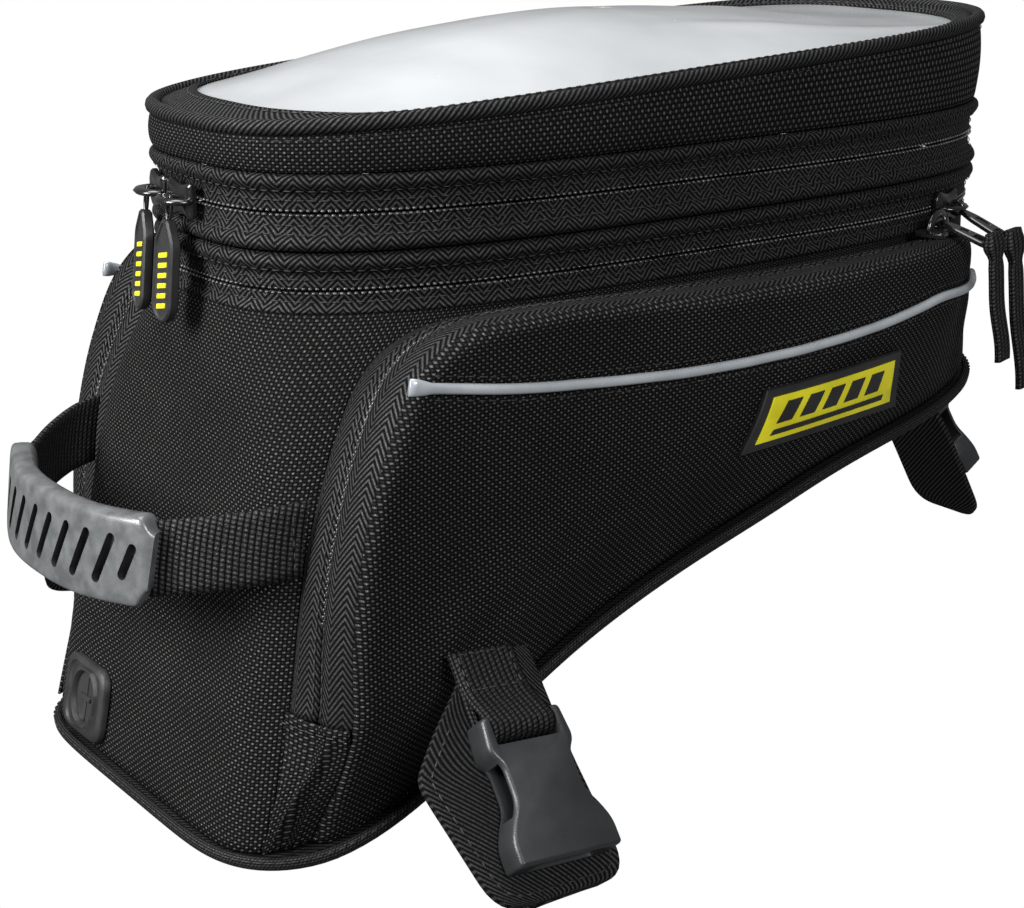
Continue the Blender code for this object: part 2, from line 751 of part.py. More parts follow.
def build_cable_port():
    """Moulded frame and slit membrane on the outside of the rear panel, over a hole in it."""
    height = -0.0665
    rear = body_sizes(height)[0]
    hole = bpy.data.objects.new("port_hole", box_mesh("port_hole", (-0.02, -0.0075, -0.0095), (0.02, 0.0075, 0.0095)))
    hole.location = (rear, 0.041, height)
    hole.hide_render = True
    hole.display_type = 'WIRE'
    CUTTERS.objects.link(hole)
    cut = bpy.data.objects["rear_panel"].modifiers.new("port_hole", 'BOOLEAN')
    cut.operation = 'DIFFERENCE'
    cut.object = hole
    down = Vector((-REAR_RAKE, 0.0, -1.0))
    pivot = add_pivot("cable_port_frame_pivot", (rear - 0.0006, 0.041, height), (0, 1, 0), down)

    def rounded(half_x, half_y, radius):
        points = []
        for sign_x, sign_y, start in ((1, 1, 0), (-1, 1, 90), (-1, -1, 180), (1, -1, 270)):
            centre = (sign_x * (half_x - radius), sign_y * (half_y - radius))
            points += arc(centre, radius, start, start + 90, 4)
        return points

    frame = outline_mesh("cable_port_frame", [rounded(0.0165, 0.0148, 0.005), rounded(0.0085, 0.0105, 0.008)], 0.0011)
    add_object("cable_port_frame", frame, RUBBER, 0.55, parent=pivot, matrix=Matrix.Translation((0, 0, 0.0011)))
    slit = [(-0.0002, -0.0080), (0.0002, -0.0080), (0.0002, 0.0080), (-0.0002, 0.0080)]
    membrane = outline_mesh("cable_port_membrane", [rounded(0.0081, 0.0101, 0.0077), slit], 0.0005)
    add_object("cable_port_membrane", membrane, RUBBER, 0.6, parent=pivot, matrix=Matrix.Translation((0, 0, 0.0008)))


# Fixing flaps with their buckles: local X across, Y down the flap, Z outward

def side_pad_mesh(side):
    """Pad of a side flap, wider towards the rear."""
    outline = [(0.0150, 0.0008), (0.0160, 0.0090), (0.0340, 0.0260), (0.0450, 0.0390), (0.0455, 0.0440)]
    outline += arc((0.0225, 0.0770), 0.0110, 15, 85, 5)
    outline += arc((-0.0120, 0.0740), 0.0110, 85, 170, 5)
    outline += [(-0.0155, 0.0400), (-0.0150, 0.0200), (-0.0150, 0.0008)]
    if side > 0:
        outline = [(-x, y) for x, y in reversed(outline)]
    return outline_mesh("flap_pad", [outline], 0.0014)


def front_pad_mesh():
    right = [(0.0150, 0.0008), (0.0160, 0.0200), (0.0205, 0.0400)] + arc((0.0105, 0.0940), 0.0100, 0, 90, 5)
    left = [(-x, y) for x, y in reversed(right)]
    return outline_mesh("flap_pad", [right + left], 0.0014)


def flap_webbing_mesh():
    """Doubled webbing sewn on the flap, opening into a loop round the buckle's bar."""
    thickness = 0.0016
    radius = 0.0050
    eye = radius - thickness
    bar = (BAR_DOWN, BAR_OUT)
    outer = [(0.0012, 0.0004), (0.0215, 0.0004)] + arc(bar, radius, -100, 100, 9) + [(0.0150, 0.0040), (0.0012, 0.0040)]
    inner = [(0.0193, 0.0022)] + arc(bar, eye, -100, 100, 9)
    mesh = outline_mesh("flap_webbing", [outer, inner], WEBBING / 2)
    mesh.transform(Matrix((Vector((0, 0, 1)), Vector((1, 0, 0)), Vector((0, 1, 0)))).to_4x4())
    return mesh


def buckle_mesh():
    """Female side-release buckle; the local origin is on its webbing bar, the socket opens at +Y."""
    right = [(0.0162, -0.0018), (0.0165, 0.0075), (0.0150, 0.0110), (0.0150, 0.0300), (0.0200, 0.0360), (0.0205, 0.0470)]
    left = [(-x, y) for x, y in reversed(right)]
    body = outline_mesh("buckle", [right + left], 0.0054)
    slot = box_mesh("slot", (-0.0138, 0.0018, -0.0100), (0.0138, 0.0065, 0.0100))
    socket = box_mesh("socket", (-0.0130, 0.0105, -0.0038), (0.0130, 0.0500, 0.0038))
    windows = box_mesh("windows", (-0.0300, 0.0125, -0.0038), (0.0300, 0.0300, 0.0038))
    front = box_mesh("front", (-0.0138, -0.0300, 0.0016), (0.0138, 0.0060, 0.0100))
    back = box_mesh("back", (-0.0138, -0.0300, -0.0100), (0.0138, 0.0060, -0.0016))
    for tool in (slot, front, back, socket, windows):
        body = combined("buckle", body, tool, 'DIFFERENCE')
    return body


def add_flap(prefix, origin, axis, down, pad, aside, buckle):
    pivot = add_pivot(prefix + "_flap_pivot", origin, axis, down)
    add_object(prefix + "_flap", pad, TWILL, parent=pivot,
               matrix=Matrix.Translation((0, 0, -0.0015)))
    add_object(prefix + "_flap_webbing", flap_webbing_mesh(), TRIM, 0.9, parent=pivot,
               matrix=Matrix.Translation((aside, 0, 0)))
    bar = pivot.matrix_world @ Vector((aside, BAR_DOWN, BAR_OUT))
    buckle_pivot = add_pivot(prefix + "_buckle_pivot", bar, axis, down, pivot)
    add_object(prefix + "_buckle", buckle, PLASTIC, 0.4, parent=buckle_pivot)


def build_flaps():
    buckle = buckle_mesh()
    buckle.materials.append(material("buckle", PLASTIC, 0.4))
    for side, prefix in ((1, "left"), (-1, "right")):
        down = Vector((-0.10, side * math.sin(FLAP_LEAN), -math.cos(FLAP_LEAN)))
        axis = Vector((math.cos(0.10), 0.0, -math.sin(0.10))) * side
        down -= axis * down.dot(axis)
        add_flap(prefix, (-0.1360, side * 0.1160, -0.0120), axis, down, side_pad_mesh(side),
                 -side * BAR_ASIDE, buckle)
    down = Vector((math.sin(FRONT_FLAP_LEAN), 0.0, -math.cos(FRONT_FLAP_LEAN)))
    add_flap("front", (0.1715, 0.0, 0.0215), (0, -1, 0), down, front_pad_mesh(), 0.0, buckle)


clear_scene()
PARTS = new_collection("tank_bag")
CUTTERS = new_collection("cutters")
build_floor()
build_walls()
build_bands()
build_lid()
build_pocket(1, "left")
build_pocket(-1, "right")
build_sliders()
build_handle()
build_cable_port()
build_flaps()
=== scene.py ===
"""Looks of the tank bag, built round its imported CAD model. Metres, +Z up, +X forward; the left side is +Y."""

import math

import bmesh
import bpy
from mathutils import Matrix, Vector, noise


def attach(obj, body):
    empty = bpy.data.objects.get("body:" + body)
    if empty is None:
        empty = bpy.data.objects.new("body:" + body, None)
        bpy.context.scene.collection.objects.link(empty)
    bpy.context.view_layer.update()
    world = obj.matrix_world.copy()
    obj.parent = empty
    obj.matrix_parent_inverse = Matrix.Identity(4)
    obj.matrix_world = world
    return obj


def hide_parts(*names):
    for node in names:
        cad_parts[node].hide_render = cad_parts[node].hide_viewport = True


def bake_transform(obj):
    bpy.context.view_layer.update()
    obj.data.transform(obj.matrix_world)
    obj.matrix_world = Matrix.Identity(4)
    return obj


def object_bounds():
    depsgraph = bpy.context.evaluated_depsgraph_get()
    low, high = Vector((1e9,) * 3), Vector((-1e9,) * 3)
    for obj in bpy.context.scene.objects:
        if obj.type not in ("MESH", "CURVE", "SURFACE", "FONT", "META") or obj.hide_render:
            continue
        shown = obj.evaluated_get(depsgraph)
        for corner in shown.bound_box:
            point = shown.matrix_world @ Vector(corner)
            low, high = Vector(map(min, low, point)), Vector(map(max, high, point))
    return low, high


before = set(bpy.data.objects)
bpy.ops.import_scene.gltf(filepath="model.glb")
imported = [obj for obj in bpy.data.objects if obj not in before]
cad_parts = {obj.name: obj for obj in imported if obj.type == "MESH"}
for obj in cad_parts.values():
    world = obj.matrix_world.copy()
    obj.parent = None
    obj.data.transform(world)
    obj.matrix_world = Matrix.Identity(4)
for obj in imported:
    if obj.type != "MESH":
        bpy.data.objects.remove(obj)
cad_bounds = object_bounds()

# Sizes of the CAD shapes
TOP_HALF_LENGTH = 0.18
TOP_HALF_WIDTH = 0.0756
PLAN_POWER = 3.1
REAR_RAKE = 0.199
SIDE_FLARE = 0.07
EXPANSION_ZIP_Z = 0.1028
LID_ZIP_Z = 0.1296
LID_BAND_Z = 0.143
LID_SLIDER_ARC = 0.1012
WALL = 0.0025
FLOOR_FRONT = 0.178
FLOOR_REAR = -0.218
FLOOR_CENTRE = -0.02
FLOOR_HALF_WIDTH = 0.098
FLOOR_THICKNESS = 0.003
FLOOR_FRONT_POWER = 2.8
FLOOR_REAR_POWER = 6.0
POCKET_HALF_WIDTH = 0.112
POCKET_FRONT_LENGTH = 0.184
POCKET_SWELL = 0.06
POCKET_FRONT_X = 0.148
DOOR_REAR = Vector((-0.1855, 0.0, 0.0))
DOOR_FRONT = Vector((0.104, 0.0, 0.0945))
WEBBING = 0.026
FLAP_LEAN = math.radians(43)
FRONT_FLAP_LEAN = math.radians(33)
BAR_DOWN = 0.03
BAR_OUT = 0.0062
BAR_ASIDE = 0.0065
SLIDER_BAR = 0.0066
PATCH_END = 2.0
DOOR_START = 3.1
DOOR_END = 11.75
GUSSET_END = 13.0
SADDLE = [(-0.218, -0.088), (-0.185, -0.085), (-0.15, -0.07), (-0.105, -0.04),
          (-0.06, -0.019), (0.0, 0.0), (0.065, 0.016), (0.18, 0.028)]
GUSSET_INNER = [(-0.209, -0.082), (-0.202, -0.058), (-0.1945, -0.033), (-0.189, -0.003), (-0.183, 0.024),
                (-0.172, 0.053), (-0.157, 0.076), (-0.137, 0.088), (-0.105, 0.0915), (-0.05, 0.0915),
                (0.01, 0.0915), (0.07, 0.091), (0.115, 0.0905), (0.148, 0.0895)]
GUSSET_OUTER = [(-0.192, -0.081), (-0.1865, -0.057), (-0.186, -0.033), (-0.1855, -0.003), (-0.1815, 0.027),
                (-0.173, 0.057), (-0.16, 0.083), (-0.14, 0.0965), (-0.105, 0.0985), (-0.05, 0.0955),
                (0.01, 0.094), (0.07, 0.095), (0.115, 0.0935), (0.148, 0.0895)]

# Looks
RING_COLUMNS = 240
TOOTH_PITCH = 0.0024
STITCH = 0.003
STITCH_GAP = 0.0012
THREAD = 0.00035


# Shape rules, as in the CAD

def ease(value):
    value = min(max(value, 0.0), 1.0)
    return value * value * (3 - 2 * value)


def spline(points, at):
    """Catmull-Rom point at a fractional index."""
    index = min(max(int(math.floor(at)), 0), len(points) - 2)
    step = at - index
    last = len(points) - 1
    before, start, end, after = (points[min(max(index + shift, 0), last)] for shift in (-1, 0, 1, 2))
    result = []
    for a, b, c, d in zip(before, start, end, after):
        curve = (2 * a - 5 * b + 4 * c - d) * step ** 2 + (3 * b - a - 3 * c + d) * step ** 3
        result.append(0.5 * (2 * b + (c - a) * step + curve))
    return result


def saddle_height(x):
    """Height of the floor's underside."""
    for index in range(len(SADDLE) - 1):
        if x <= SADDLE[index + 1][0] or index == len(SADDLE) - 2:
            low, high = 0.0, 1.0
            for _ in range(14):
                middle = (low + high) / 2
                if spline(SADDLE, index + middle)[0] < x:
                    low = middle
                else:
                    high = middle
            return spline(SADDLE, index + low)[1]


def floor_level(x, lift):
    step = 0.002
    slope = (saddle_height(x + step) - saddle_height(x - step)) / (2 * step)
    return saddle_height(x) + lift * math.sqrt(1 + slope * slope)


def plan_point(angle, front, rear, half_width, front_power, rear_power, centre=None):
    cosine, sine = math.cos(angle), math.sin(angle)
    power = front_power if cosine > 0 else rear_power
    reach = (abs(cosine) ** power + abs(sine) ** power) ** (-1 / power)
    middle = (front + rear) / 2 if centre is None else centre
    half_length = front - middle if cosine > 0 else middle - rear
    return middle + half_length * reach * cosine, half_width * reach * sine


def body_sizes(z):
    drop = max(EXPANSION_ZIP_Z - z, 0.0)
    rear = -TOP_HALF_LENGTH - REAR_RAKE * drop
    return rear, TOP_HALF_WIDTH + SIDE_FLARE * drop, PLAN_POWER + 6 * ease(drop / 0.08)


def body_point(angle, z, offset=0.0):
    rear, half_width, rear_power = body_sizes(z)
    front = TOP_HALF_LENGTH + offset
    x, y = plan_point(angle, front, rear - offset, half_width + offset, PLAN_POWER, rear_power)
    return Vector((x, y, z))


def body_half_width(x, z):
    rear, half_width, rear_power = body_sizes(z)
    centre = (rear + TOP_HALF_LENGTH) / 2
    reach = abs(x - centre) / (TOP_HALF_LENGTH - centre)
    power = PLAN_POWER if x > centre else rear_power
    return half_width * max(1 - reach ** power, 0.0) ** (1 / power)


def floor_half_width(x):
    front = x > FLOOR_CENTRE
    reach = (x - FLOOR_CENTRE) / (FLOOR_FRONT - FLOOR_CENTRE if front else FLOOR_CENTRE - FLOOR_REAR)
    power = FLOOR_FRONT_POWER if front else FLOOR_REAR_POWER
    return FLOOR_HALF_WIDTH * max(1 - abs(reach) ** power, 0.0) ** (1 / power)


def floor_outline(angle, inset=0.0):
    front, rear, half_width = FLOOR_FRONT - inset, FLOOR_REAR + inset, FLOOR_HALF_WIDTH - inset
    return plan_point(angle, front, rear, half_width, FLOOR_FRONT_POWER, FLOOR_REAR_POWER, FLOOR_CENTRE)


def pocket_half_width(x, z):
    reach = max(x - FLOOR_CENTRE, 0.0) / POCKET_FRONT_LENGTH
    full = POCKET_HALF_WIDTH * max(1 - reach ** 3, 0.0) ** (1 / 3)
    low = floor_half_width(x) - 0.0005
    return low + (full - low) * ease((z - saddle_height(x)) / POCKET_SWELL)


def pocket_point(x, z, inset=0.0):
    """Point on the left pocket's outer surface, moved in along the plan normal."""
    step = 0.001
    slope = (pocket_half_width(x + step, z) - pocket_half_width(x - step, z)) / (2 * step)
    normal = Vector((-slope, 1.0, 0.0)).normalized()
    return Vector((x, pocket_half_width(x, z), z)) - normal * inset


def gusset_point(at, across, rise=0.0):
    """Point on the strip between body and pocket panel: across is 0 at the body, 1 at the panel."""
    inner_x, inner_z = spline(GUSSET_INNER, at)
    outer_x, outer_z = spline(GUSSET_OUTER, at)
    clearance = 0.0012 + 0.0045 * ease(PATCH_END - at)
    inner = Vector((inner_x, body_half_width(inner_x, inner_z) + clearance, inner_z))
    outer = pocket_point(outer_x, outer_z, WALL + 0.0014)
    before = Vector(spline(GUSSET_OUTER, at - 0.1))
    after = Vector(spline(GUSSET_OUTER, at + 0.1))
    run = (after - before).normalized()
    outward = Vector((-run.y, 0.0, run.x))
    swell = 0.0015 * 4 * across * (1 - across) + rise
    return inner.lerp(outer, across) + outward * swell


def lid_edge(x):
    return 0.1675 + 0.056 * x


# Finishes

def new_finish(name, colour, roughness):
    finish = bpy.data.materials.new(name)
    finish.use_nodes = True
    shader = finish.node_tree.nodes["Principled BSDF"]
    shader.inputs["Base Color"].default_value = (*colour, 1.0)
    shader.inputs["Roughness"].default_value = roughness
    return finish, finish.node_tree, shader


def join(tree, value, socket):
    if isinstance(value, bpy.types.NodeSocket):
        tree.links.new(value, socket)
    else:
        socket.default_value = value


def maths(tree, operation, *values):
    made = tree.nodes.new("ShaderNodeMath")
    made.operation = operation
    for value, socket in zip(values, made.inputs):
        join(tree, value, socket)
    return made.outputs[0]


def spots(tree, scale, detail=2.0):
    place = tree.nodes.new("ShaderNodeTexCoord")
    made = tree.nodes.new("ShaderNodeTexNoise")
    made.inputs["Scale"].default_value = scale
    made.inputs["Detail"].default_value = detail
    tree.links.new(place.outputs["Object"], made.inputs["Vector"])
    return made.outputs["Fac"]


def span(tree, value, low, high, to_low, to_high):
    made = tree.nodes.new("ShaderNodeMapRange")
    for socket, number in zip(made.inputs, (value, low, high, to_low, to_high)):
        join(tree, number, socket)
    return made.outputs[0]


def tint(tree, shader, factor, dark, light):
    made = tree.nodes.new("ShaderNodeMix")
    made.data_type = 'RGBA'
    tree.links.new(factor, made.inputs["Factor"])
    made.inputs["A"].default_value = (*dark, 1.0)
    made.inputs["B"].default_value = (*light, 1.0)
    tree.links.new(made.outputs["Result"], shader.inputs["Base Color"])


def relief(tree, shader, height, depth):
    made = tree.nodes.new("ShaderNodeBump")
    made.inputs["Distance"].default_value = depth
    tree.links.new(height, made.inputs["Height"])
    tree.links.new(made.outputs["Normal"], shader.inputs["Normal"])


def thread_height(tree, pattern, u, v, width):
    """Height from 0 to 1 of a weave; u and v are phases, half a turn to each thread."""
    if pattern == "basket":
        cell = maths(tree, 'MULTIPLY', maths(tree, 'SINE', u), maths(tree, 'SINE', v))
        over = maths(tree, 'POWER', maths(tree, 'MAXIMUM', cell, 0.0), 0.7)
        under = maths(tree, 'POWER', maths(tree, 'MAXIMUM', maths(tree, 'MULTIPLY', cell, -1.0), 0.0), 0.9)
        return maths(tree, 'MAXIMUM', over, maths(tree, 'MULTIPLY', under, 0.35))
    if pattern == "herringbone":
        folded = maths(tree, 'PINGPONG', u, width)
        return span(tree, maths(tree, 'SINE', maths(tree, 'ADD', folded, v)), -1.0, 1.0, 0.0, 1.0)
    if pattern == "twill":
        return span(tree, maths(tree, 'SINE', maths(tree, 'ADD', u, v)), -1.0, 1.0, 0.0, 1.0)
    ribs = maths(tree, 'ABSOLUTE', maths(tree, 'SINE', u))
    slanted = maths(tree, 'ADD', v, maths(tree, 'MULTIPLY', u, 0.5))
    picks = maths(tree, 'ABSOLUTE', maths(tree, 'SINE', slanted))
    return maths(tree, 'MULTIPLY', maths(tree, 'POWER', ribs, 0.6), span(tree, picks, 0.0, 1.0, 0.45, 1.0))


def woven(name, pattern, pitch, depth, dark, light, gloss=(0.85, 0.5), width=8.0, source="UV"):
    """Cloth whose threads have relief, their own sheen, uneven dye and a little wear; its colour is painted
    lighter on the thread crowns as a painted glint and darker between threads as painted shade.
    """
    finish, tree, shader = new_finish(name, light, gloss[0])
    place = tree.nodes.new("ShaderNodeTexCoord")
    split = tree.nodes.new("ShaderNodeSeparateXYZ")
    tree.links.new(place.outputs[source], split.inputs[0])
    u = maths(tree, 'MULTIPLY', split.outputs[0], math.pi / pitch[0])
    across = split.outputs[1]
    if source == "Object":
        across = maths(tree, 'ADD', across, split.outputs[2])
    v = maths(tree, 'MULTIPLY', across, math.pi / pitch[1])
    height = thread_height(tree, pattern, u, v, width)
    uneven = spots(tree, 1400.0, 1.0)
    raised = maths(tree, 'MULTIPLY', height, span(tree, uneven, 0.3, 0.7, 0.7, 1.15))
    faded = span(tree, spots(tree, 22.0, 4.0), 0.3, 0.7, 0.65, 1.1)
    # Thread-crown mask: drives the painted glint in the base colour and the real specular level.
    painted_glint_and_spec = maths(tree, 'POWER', raised, 2.0)
    # Painted glint and painted shade: the colour runs from the dark value between threads to the light value on
    # thread crowns, scaled by the random tone in faded.
    tint(tree, shader, maths(tree, 'MULTIPLY', painted_glint_and_spec, faded), dark, light)
    tree.links.new(span(tree, raised, 0.0, 1.0, gloss[0], gloss[1]), shader.inputs["Roughness"])
    tree.links.new(span(tree, painted_glint_and_spec, 0.0, 1.0, 0.05, 0.7), shader.inputs["Specular IOR Level"])
    relief(tree, shader, raised, depth)
    return finish


def moulded(name, dark, light, roughness, grain, depth, mottle=60.0, coat=0.0, metal=0.0):
    """Plastic, rubber or painted metal with a fine surface grain, mottling and rubbed patches."""
    finish, tree, shader = new_finish(name, light, roughness)
    cloud = spots(tree, mottle, 5.0)
    tint(tree, shader, span(tree, cloud, 0.35, 0.65, 0.0, 1.0), dark, light)
    rubbed = span(tree, spots(tree, mottle * 3, 3.0), 0.3, 0.7, roughness * 0.85, roughness * 1.25)
    tree.links.new(rubbed, shader.inputs["Roughness"])
    shader.inputs["Coat Weight"].default_value = coat
    shader.inputs["Coat Roughness"].default_value = 0.15
    shader.inputs["Metallic"].default_value = metal
    relief(tree, shader, spots(tree, grain, 2.0), depth)
    return finish


def grey(level):
    return (level, level, level)


# In each woven finish the first colour is painted shade between the threads and the second is the painted glint
# colour on the thread crowns.
BALLISTIC = woven("ballistic_nylon", "basket", (0.0015, 0.0012), 0.0007, grey(0.0022),
                  (0.078, 0.078, 0.076), (0.85, 0.36))
LID_CLOTH = woven("lid_nylon", "basket", (0.0014, 0.00115), 0.0005, grey(0.0022),
                  (0.066, 0.066, 0.065), (0.85, 0.4))
ZIP_TAPE = woven("zip_tape", "herringbone", (0.0011, 0.0011), 0.00016, grey(0.002),
                 grey(0.019), (0.85, 0.6), width=16.0)
GUSSET_TAPE = woven("gusset_tape", "herringbone", (0.0011, 0.0013), 0.00018, grey(0.002),
                    (0.017, 0.017, 0.0175), (0.85, 0.6), width=20.0)
TWILL = woven("fine_twill", "twill", (0.0012, 0.0012), 0.00014, grey(0.003),
              (0.018, 0.018, 0.019), (0.85, 0.6))
WEB = woven("ribbed_webbing", "ribs", (0.0023, 0.0017), 0.0006, grey(0.001), grey(0.017), (0.85, 0.5))
WEB_TURNED = woven("turned_webbing", "ribs", (0.0023, 0.0016), 0.0005, grey(0.001),
                   grey(0.018), (0.85, 0.5))
TAIL_WEB = woven("tail_webbing", "ribs", (0.003, 0.0016), 0.0007, grey(0.001), grey(0.02), (0.8, 0.5))
BINDING = woven("binding_tape", "ribs", (0.001, 0.0014), 0.0002, grey(0.002), grey(0.012), (0.85, 0.6))
LINING = woven("lining", "twill", (0.0008, 0.0008), 0.0001, grey(0.01), (0.03, 0.03, 0.032), source="Object")
FLOOR_CLOTH = woven("floor_cloth", "twill", (0.0013, 0.0013), 0.00015, grey(0.003),
                    grey(0.016), source="Object")
COTTON = moulded("sewing_thread", grey(0.01), grey(0.03), 0.6, 4000.0, 0.00005)
COIL = moulded("zip_coil", grey(0.02), grey(0.1), 0.25, 3000.0, 0.00002, coat=0.6)
BLACK_METAL = moulded("black_metal", (0.006, 0.006, 0.007), (0.014, 0.014, 0.015), 0.22, 2500.0, 0.00003,
                      coat=0.8, metal=0.3)
RUBBER = moulded("soft_rubber", (0.01, 0.01, 0.011), (0.02, 0.02, 0.021), 0.48, 2600.0, 0.00006)
BUCKLE = moulded("satin_acetal", (0.018, 0.019, 0.02), (0.028, 0.03, 0.032), 0.34, 2200.0, 0.00006, 40.0)
GRIP = moulded("mottled_grip", (0.07, 0.074, 0.076), (0.125, 0.13, 0.133), 0.3, 1500.0, 0.00003, 160.0,
               coat=0.35)
# Painted shade: a darker finish meant only for the walls and floors of the grip's slots, where shade falls.
GRIP_SLOT_SHADE = moulded("grip_slot_painted_shade", (0.012, 0.012, 0.013), (0.022, 0.022, 0.023), 0.5, 900.0, 0.0001)
YELLOW = moulded("lemon_rubber", (0.66, 0.6, 0.01), (0.82, 0.76, 0.02), 0.42, 1800.0, 0.00004)
BEADED = moulded("retroreflective", (0.36, 0.39, 0.42), (0.46, 0.49, 0.52), 0.24, 2500.0, 0.00002, 60.0,
                 coat=0.5, metal=0.25)
VINYL = moulded("clear_vinyl", (0.36, 0.375, 0.385), (0.46, 0.475, 0.485), 0.22, 40.0, 0.0003, 9.0, coat=0.5)
BOARD = moulded("stiffener_board", grey(0.02), grey(0.04), 0.6, 400.0, 0.0001)


# Mesh builders

def turns(count):
    """Angles evenly spaced round a circle."""
    return [2 * math.pi * step / count for step in range(count)]


def running(points):
    total, marks = 0.0, [0.0]
    for first, second in zip(points, points[1:]):
        total += (Vector(second) - Vector(first)).length
        marks.append(total)
    return marks


def place_on(piece, body, replaced=()):
    if isinstance(body, str):
        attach(piece, body)
    else:
        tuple(body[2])
        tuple(body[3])
        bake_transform(piece)
    if replaced:
        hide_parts(*replaced)
    return piece


def add_mesh(name, mesh, finish):
    piece = bpy.data.objects.new(name, mesh)
    bpy.context.scene.collection.objects.link(piece)
    mesh.materials.append(finish)
    mesh.shade_smooth()
    return piece


def apply_modifiers(piece):
    bpy.context.view_layer.update()
    graph = bpy.context.evaluated_depsgraph_get()
    mesh = bpy.data.meshes.new_from_object(piece.evaluated_get(graph))
    piece.modifiers.clear()
    piece.data = mesh
    return piece


def grid(name, rows, finish, wrap=False, thick=0.0, flip=False, chart=None):
    """Sheet through rows of points, with texture coordinates in metres and its thickness behind it."""
    width = len(rows[0])
    columns = width if wrap else width - 1
    across = running([*rows[len(rows) // 2], rows[len(rows) // 2][0]] if wrap else rows[len(rows) // 2])
    along = running([row[width // 2] for row in rows])
    faces, places = [], []
    for row in range(len(rows) - 1):
        for column in range(columns):
            following = (column + 1) % width
            corners = [(row, column, column), (row, following, column + 1),
                       (row + 1, following, column + 1), (row + 1, column, column)]
            if flip:
                corners.reverse()
            faces.append([r * width + c for r, c, _ in corners])
            for r, c, mark in corners:
                places.append(chart(rows[r][c]) if chart else (across[mark], along[r]))
    mesh = bpy.data.meshes.new(name)
    mesh.from_pydata([tuple(point) for row in rows for point in row], [], faces)
    layer = mesh.uv_layers.new(name="cloth")
    for target, place in zip(layer.data, places):
        target.uv = place
    piece = add_mesh(name, mesh, finish)
    if thick:
        solidify = piece.modifiers.new("thickness", 'SOLIDIFY')
        solidify.thickness = thick
        solidify.offset = -1.0
        apply_modifiers(piece)
        piece.data.shade_smooth()
    return piece


def relieved(rows, amount, wrap=False):
    """Rows moved along their surface's normal by amount(point, row, column)."""
    last = len(rows) - 1
    width = len(rows[0])
    result = []
    for i, row in enumerate(rows):
        line = []
        for j, point in enumerate(row):
            if wrap:
                side = row[(j + 1) % width] - row[j - 1]
            else:
                side = row[min(j + 1, width - 1)] - row[max(j - 1, 0)]
            up = rows[min(i + 1, last)][j] - rows[max(i - 1, 0)][j]
            normal = side.cross(up)
            if normal.length > 1e-12:
                normal.normalize()
            line.append(point + normal * amount(point, i, j))
        result.append(line)
    return result


def capped(rows):
    """Rings with a point at each end, so that they close."""
    return [[sum(ring, Vector()) / len(ring)] * len(ring) for ring in rows[:1]] + rows + \
           [[sum(ring, Vector()) / len(ring)] * len(ring) for ring in rows[-1:]]


def tube(name, points, radius, finish, closed=False, sides=10, flat=1.0, up=Vector((0, 0, 1))):
    """Round or flattened tube along points."""
    rows = []
    count = len(points)
    for index, point in enumerate(points):
        if closed:
            ahead = points[(index + 1) % count] - points[index - 1]
        else:
            ahead = points[min(index + 1, count - 1)] - points[max(index - 1, 0)]
        ahead.normalize()
        side = up.cross(ahead).normalized()
        over = ahead.cross(side)
        rows.append([point + side * (math.cos(angle) * radius * flat) + over * (math.sin(angle) * radius)
                     for angle in turns(sides)])
    if closed:
        rows.append(rows[0])
    else:
        rows = capped(rows)
    piece = grid(name, rows, finish, wrap=True, flip=True)
    clean(piece)
    return piece


def clean(piece, distance=1e-6):
    work = bmesh.new()
    work.from_mesh(piece.data)
    bmesh.ops.remove_doubles(work, verts=work.verts, dist=distance)
    bmesh.ops.recalc_face_normals(work, faces=work.faces)
    work.to_mesh(piece.data)
    work.free()
    piece.data.shade_smooth()


def beads(name, places, size, finish):
    """Small rounded blocks; each place is (centre, along, out)."""
    vertices, faces = [], []
    shape = [(-1, 0, 0), (-0.6, 0.8, 0), (-0.6, 0, 0.9), (-0.6, -0.8, 0), (-0.6, 0, -0.5),
             (0.6, 0.8, 0), (0.6, 0, 0.9), (0.6, -0.8, 0), (0.6, 0, -0.5), (1, 0, 0)]
    sides = []
    for first, second in ((1, 2), (2, 3), (3, 4), (4, 1)):
        sides += [(0, second, first), (first, second, second + 4, first + 4), (9, first + 4, second + 4)]
    for centre, along, out in places:
        ahead = along.normalized()
        across = out.cross(ahead).normalized()
        turn = Matrix((ahead, across, ahead.cross(across))).transposed() @ Matrix.Diagonal(size)
        base = len(vertices)
        vertices += [tuple(centre + turn @ Vector(corner)) for corner in shape]
        faces += [[base + corner for corner in side] for side in sides]
    mesh = bpy.data.meshes.new(name)
    mesh.from_pydata(vertices, [], faces)
    return add_mesh(name, mesh, finish)


def along_path(points, outs, pitch, shift=0.0):
    """Evenly spaced (centre, along, out) on a path."""
    marks = running(points)
    places = []
    reach = pitch / 2 + shift
    index = 0
    while reach < marks[-1]:
        while marks[index + 1] < reach:
            index += 1
        share = (reach - marks[index]) / max(marks[index + 1] - marks[index], 1e-9)
        centre = points[index].lerp(points[index + 1], share)
        out = outs[index].lerp(outs[index + 1], share)
        places.append((centre, points[index + 1] - points[index], out))
        reach += pitch
    return places


def sew(name, points, outs, body, place=Matrix()):
    places = along_path(points, outs, STITCH + STITCH_GAP)
    seam = beads(name, places, (STITCH / 2, THREAD, THREAD), COTTON)
    place_on(moved(seam, place), body)


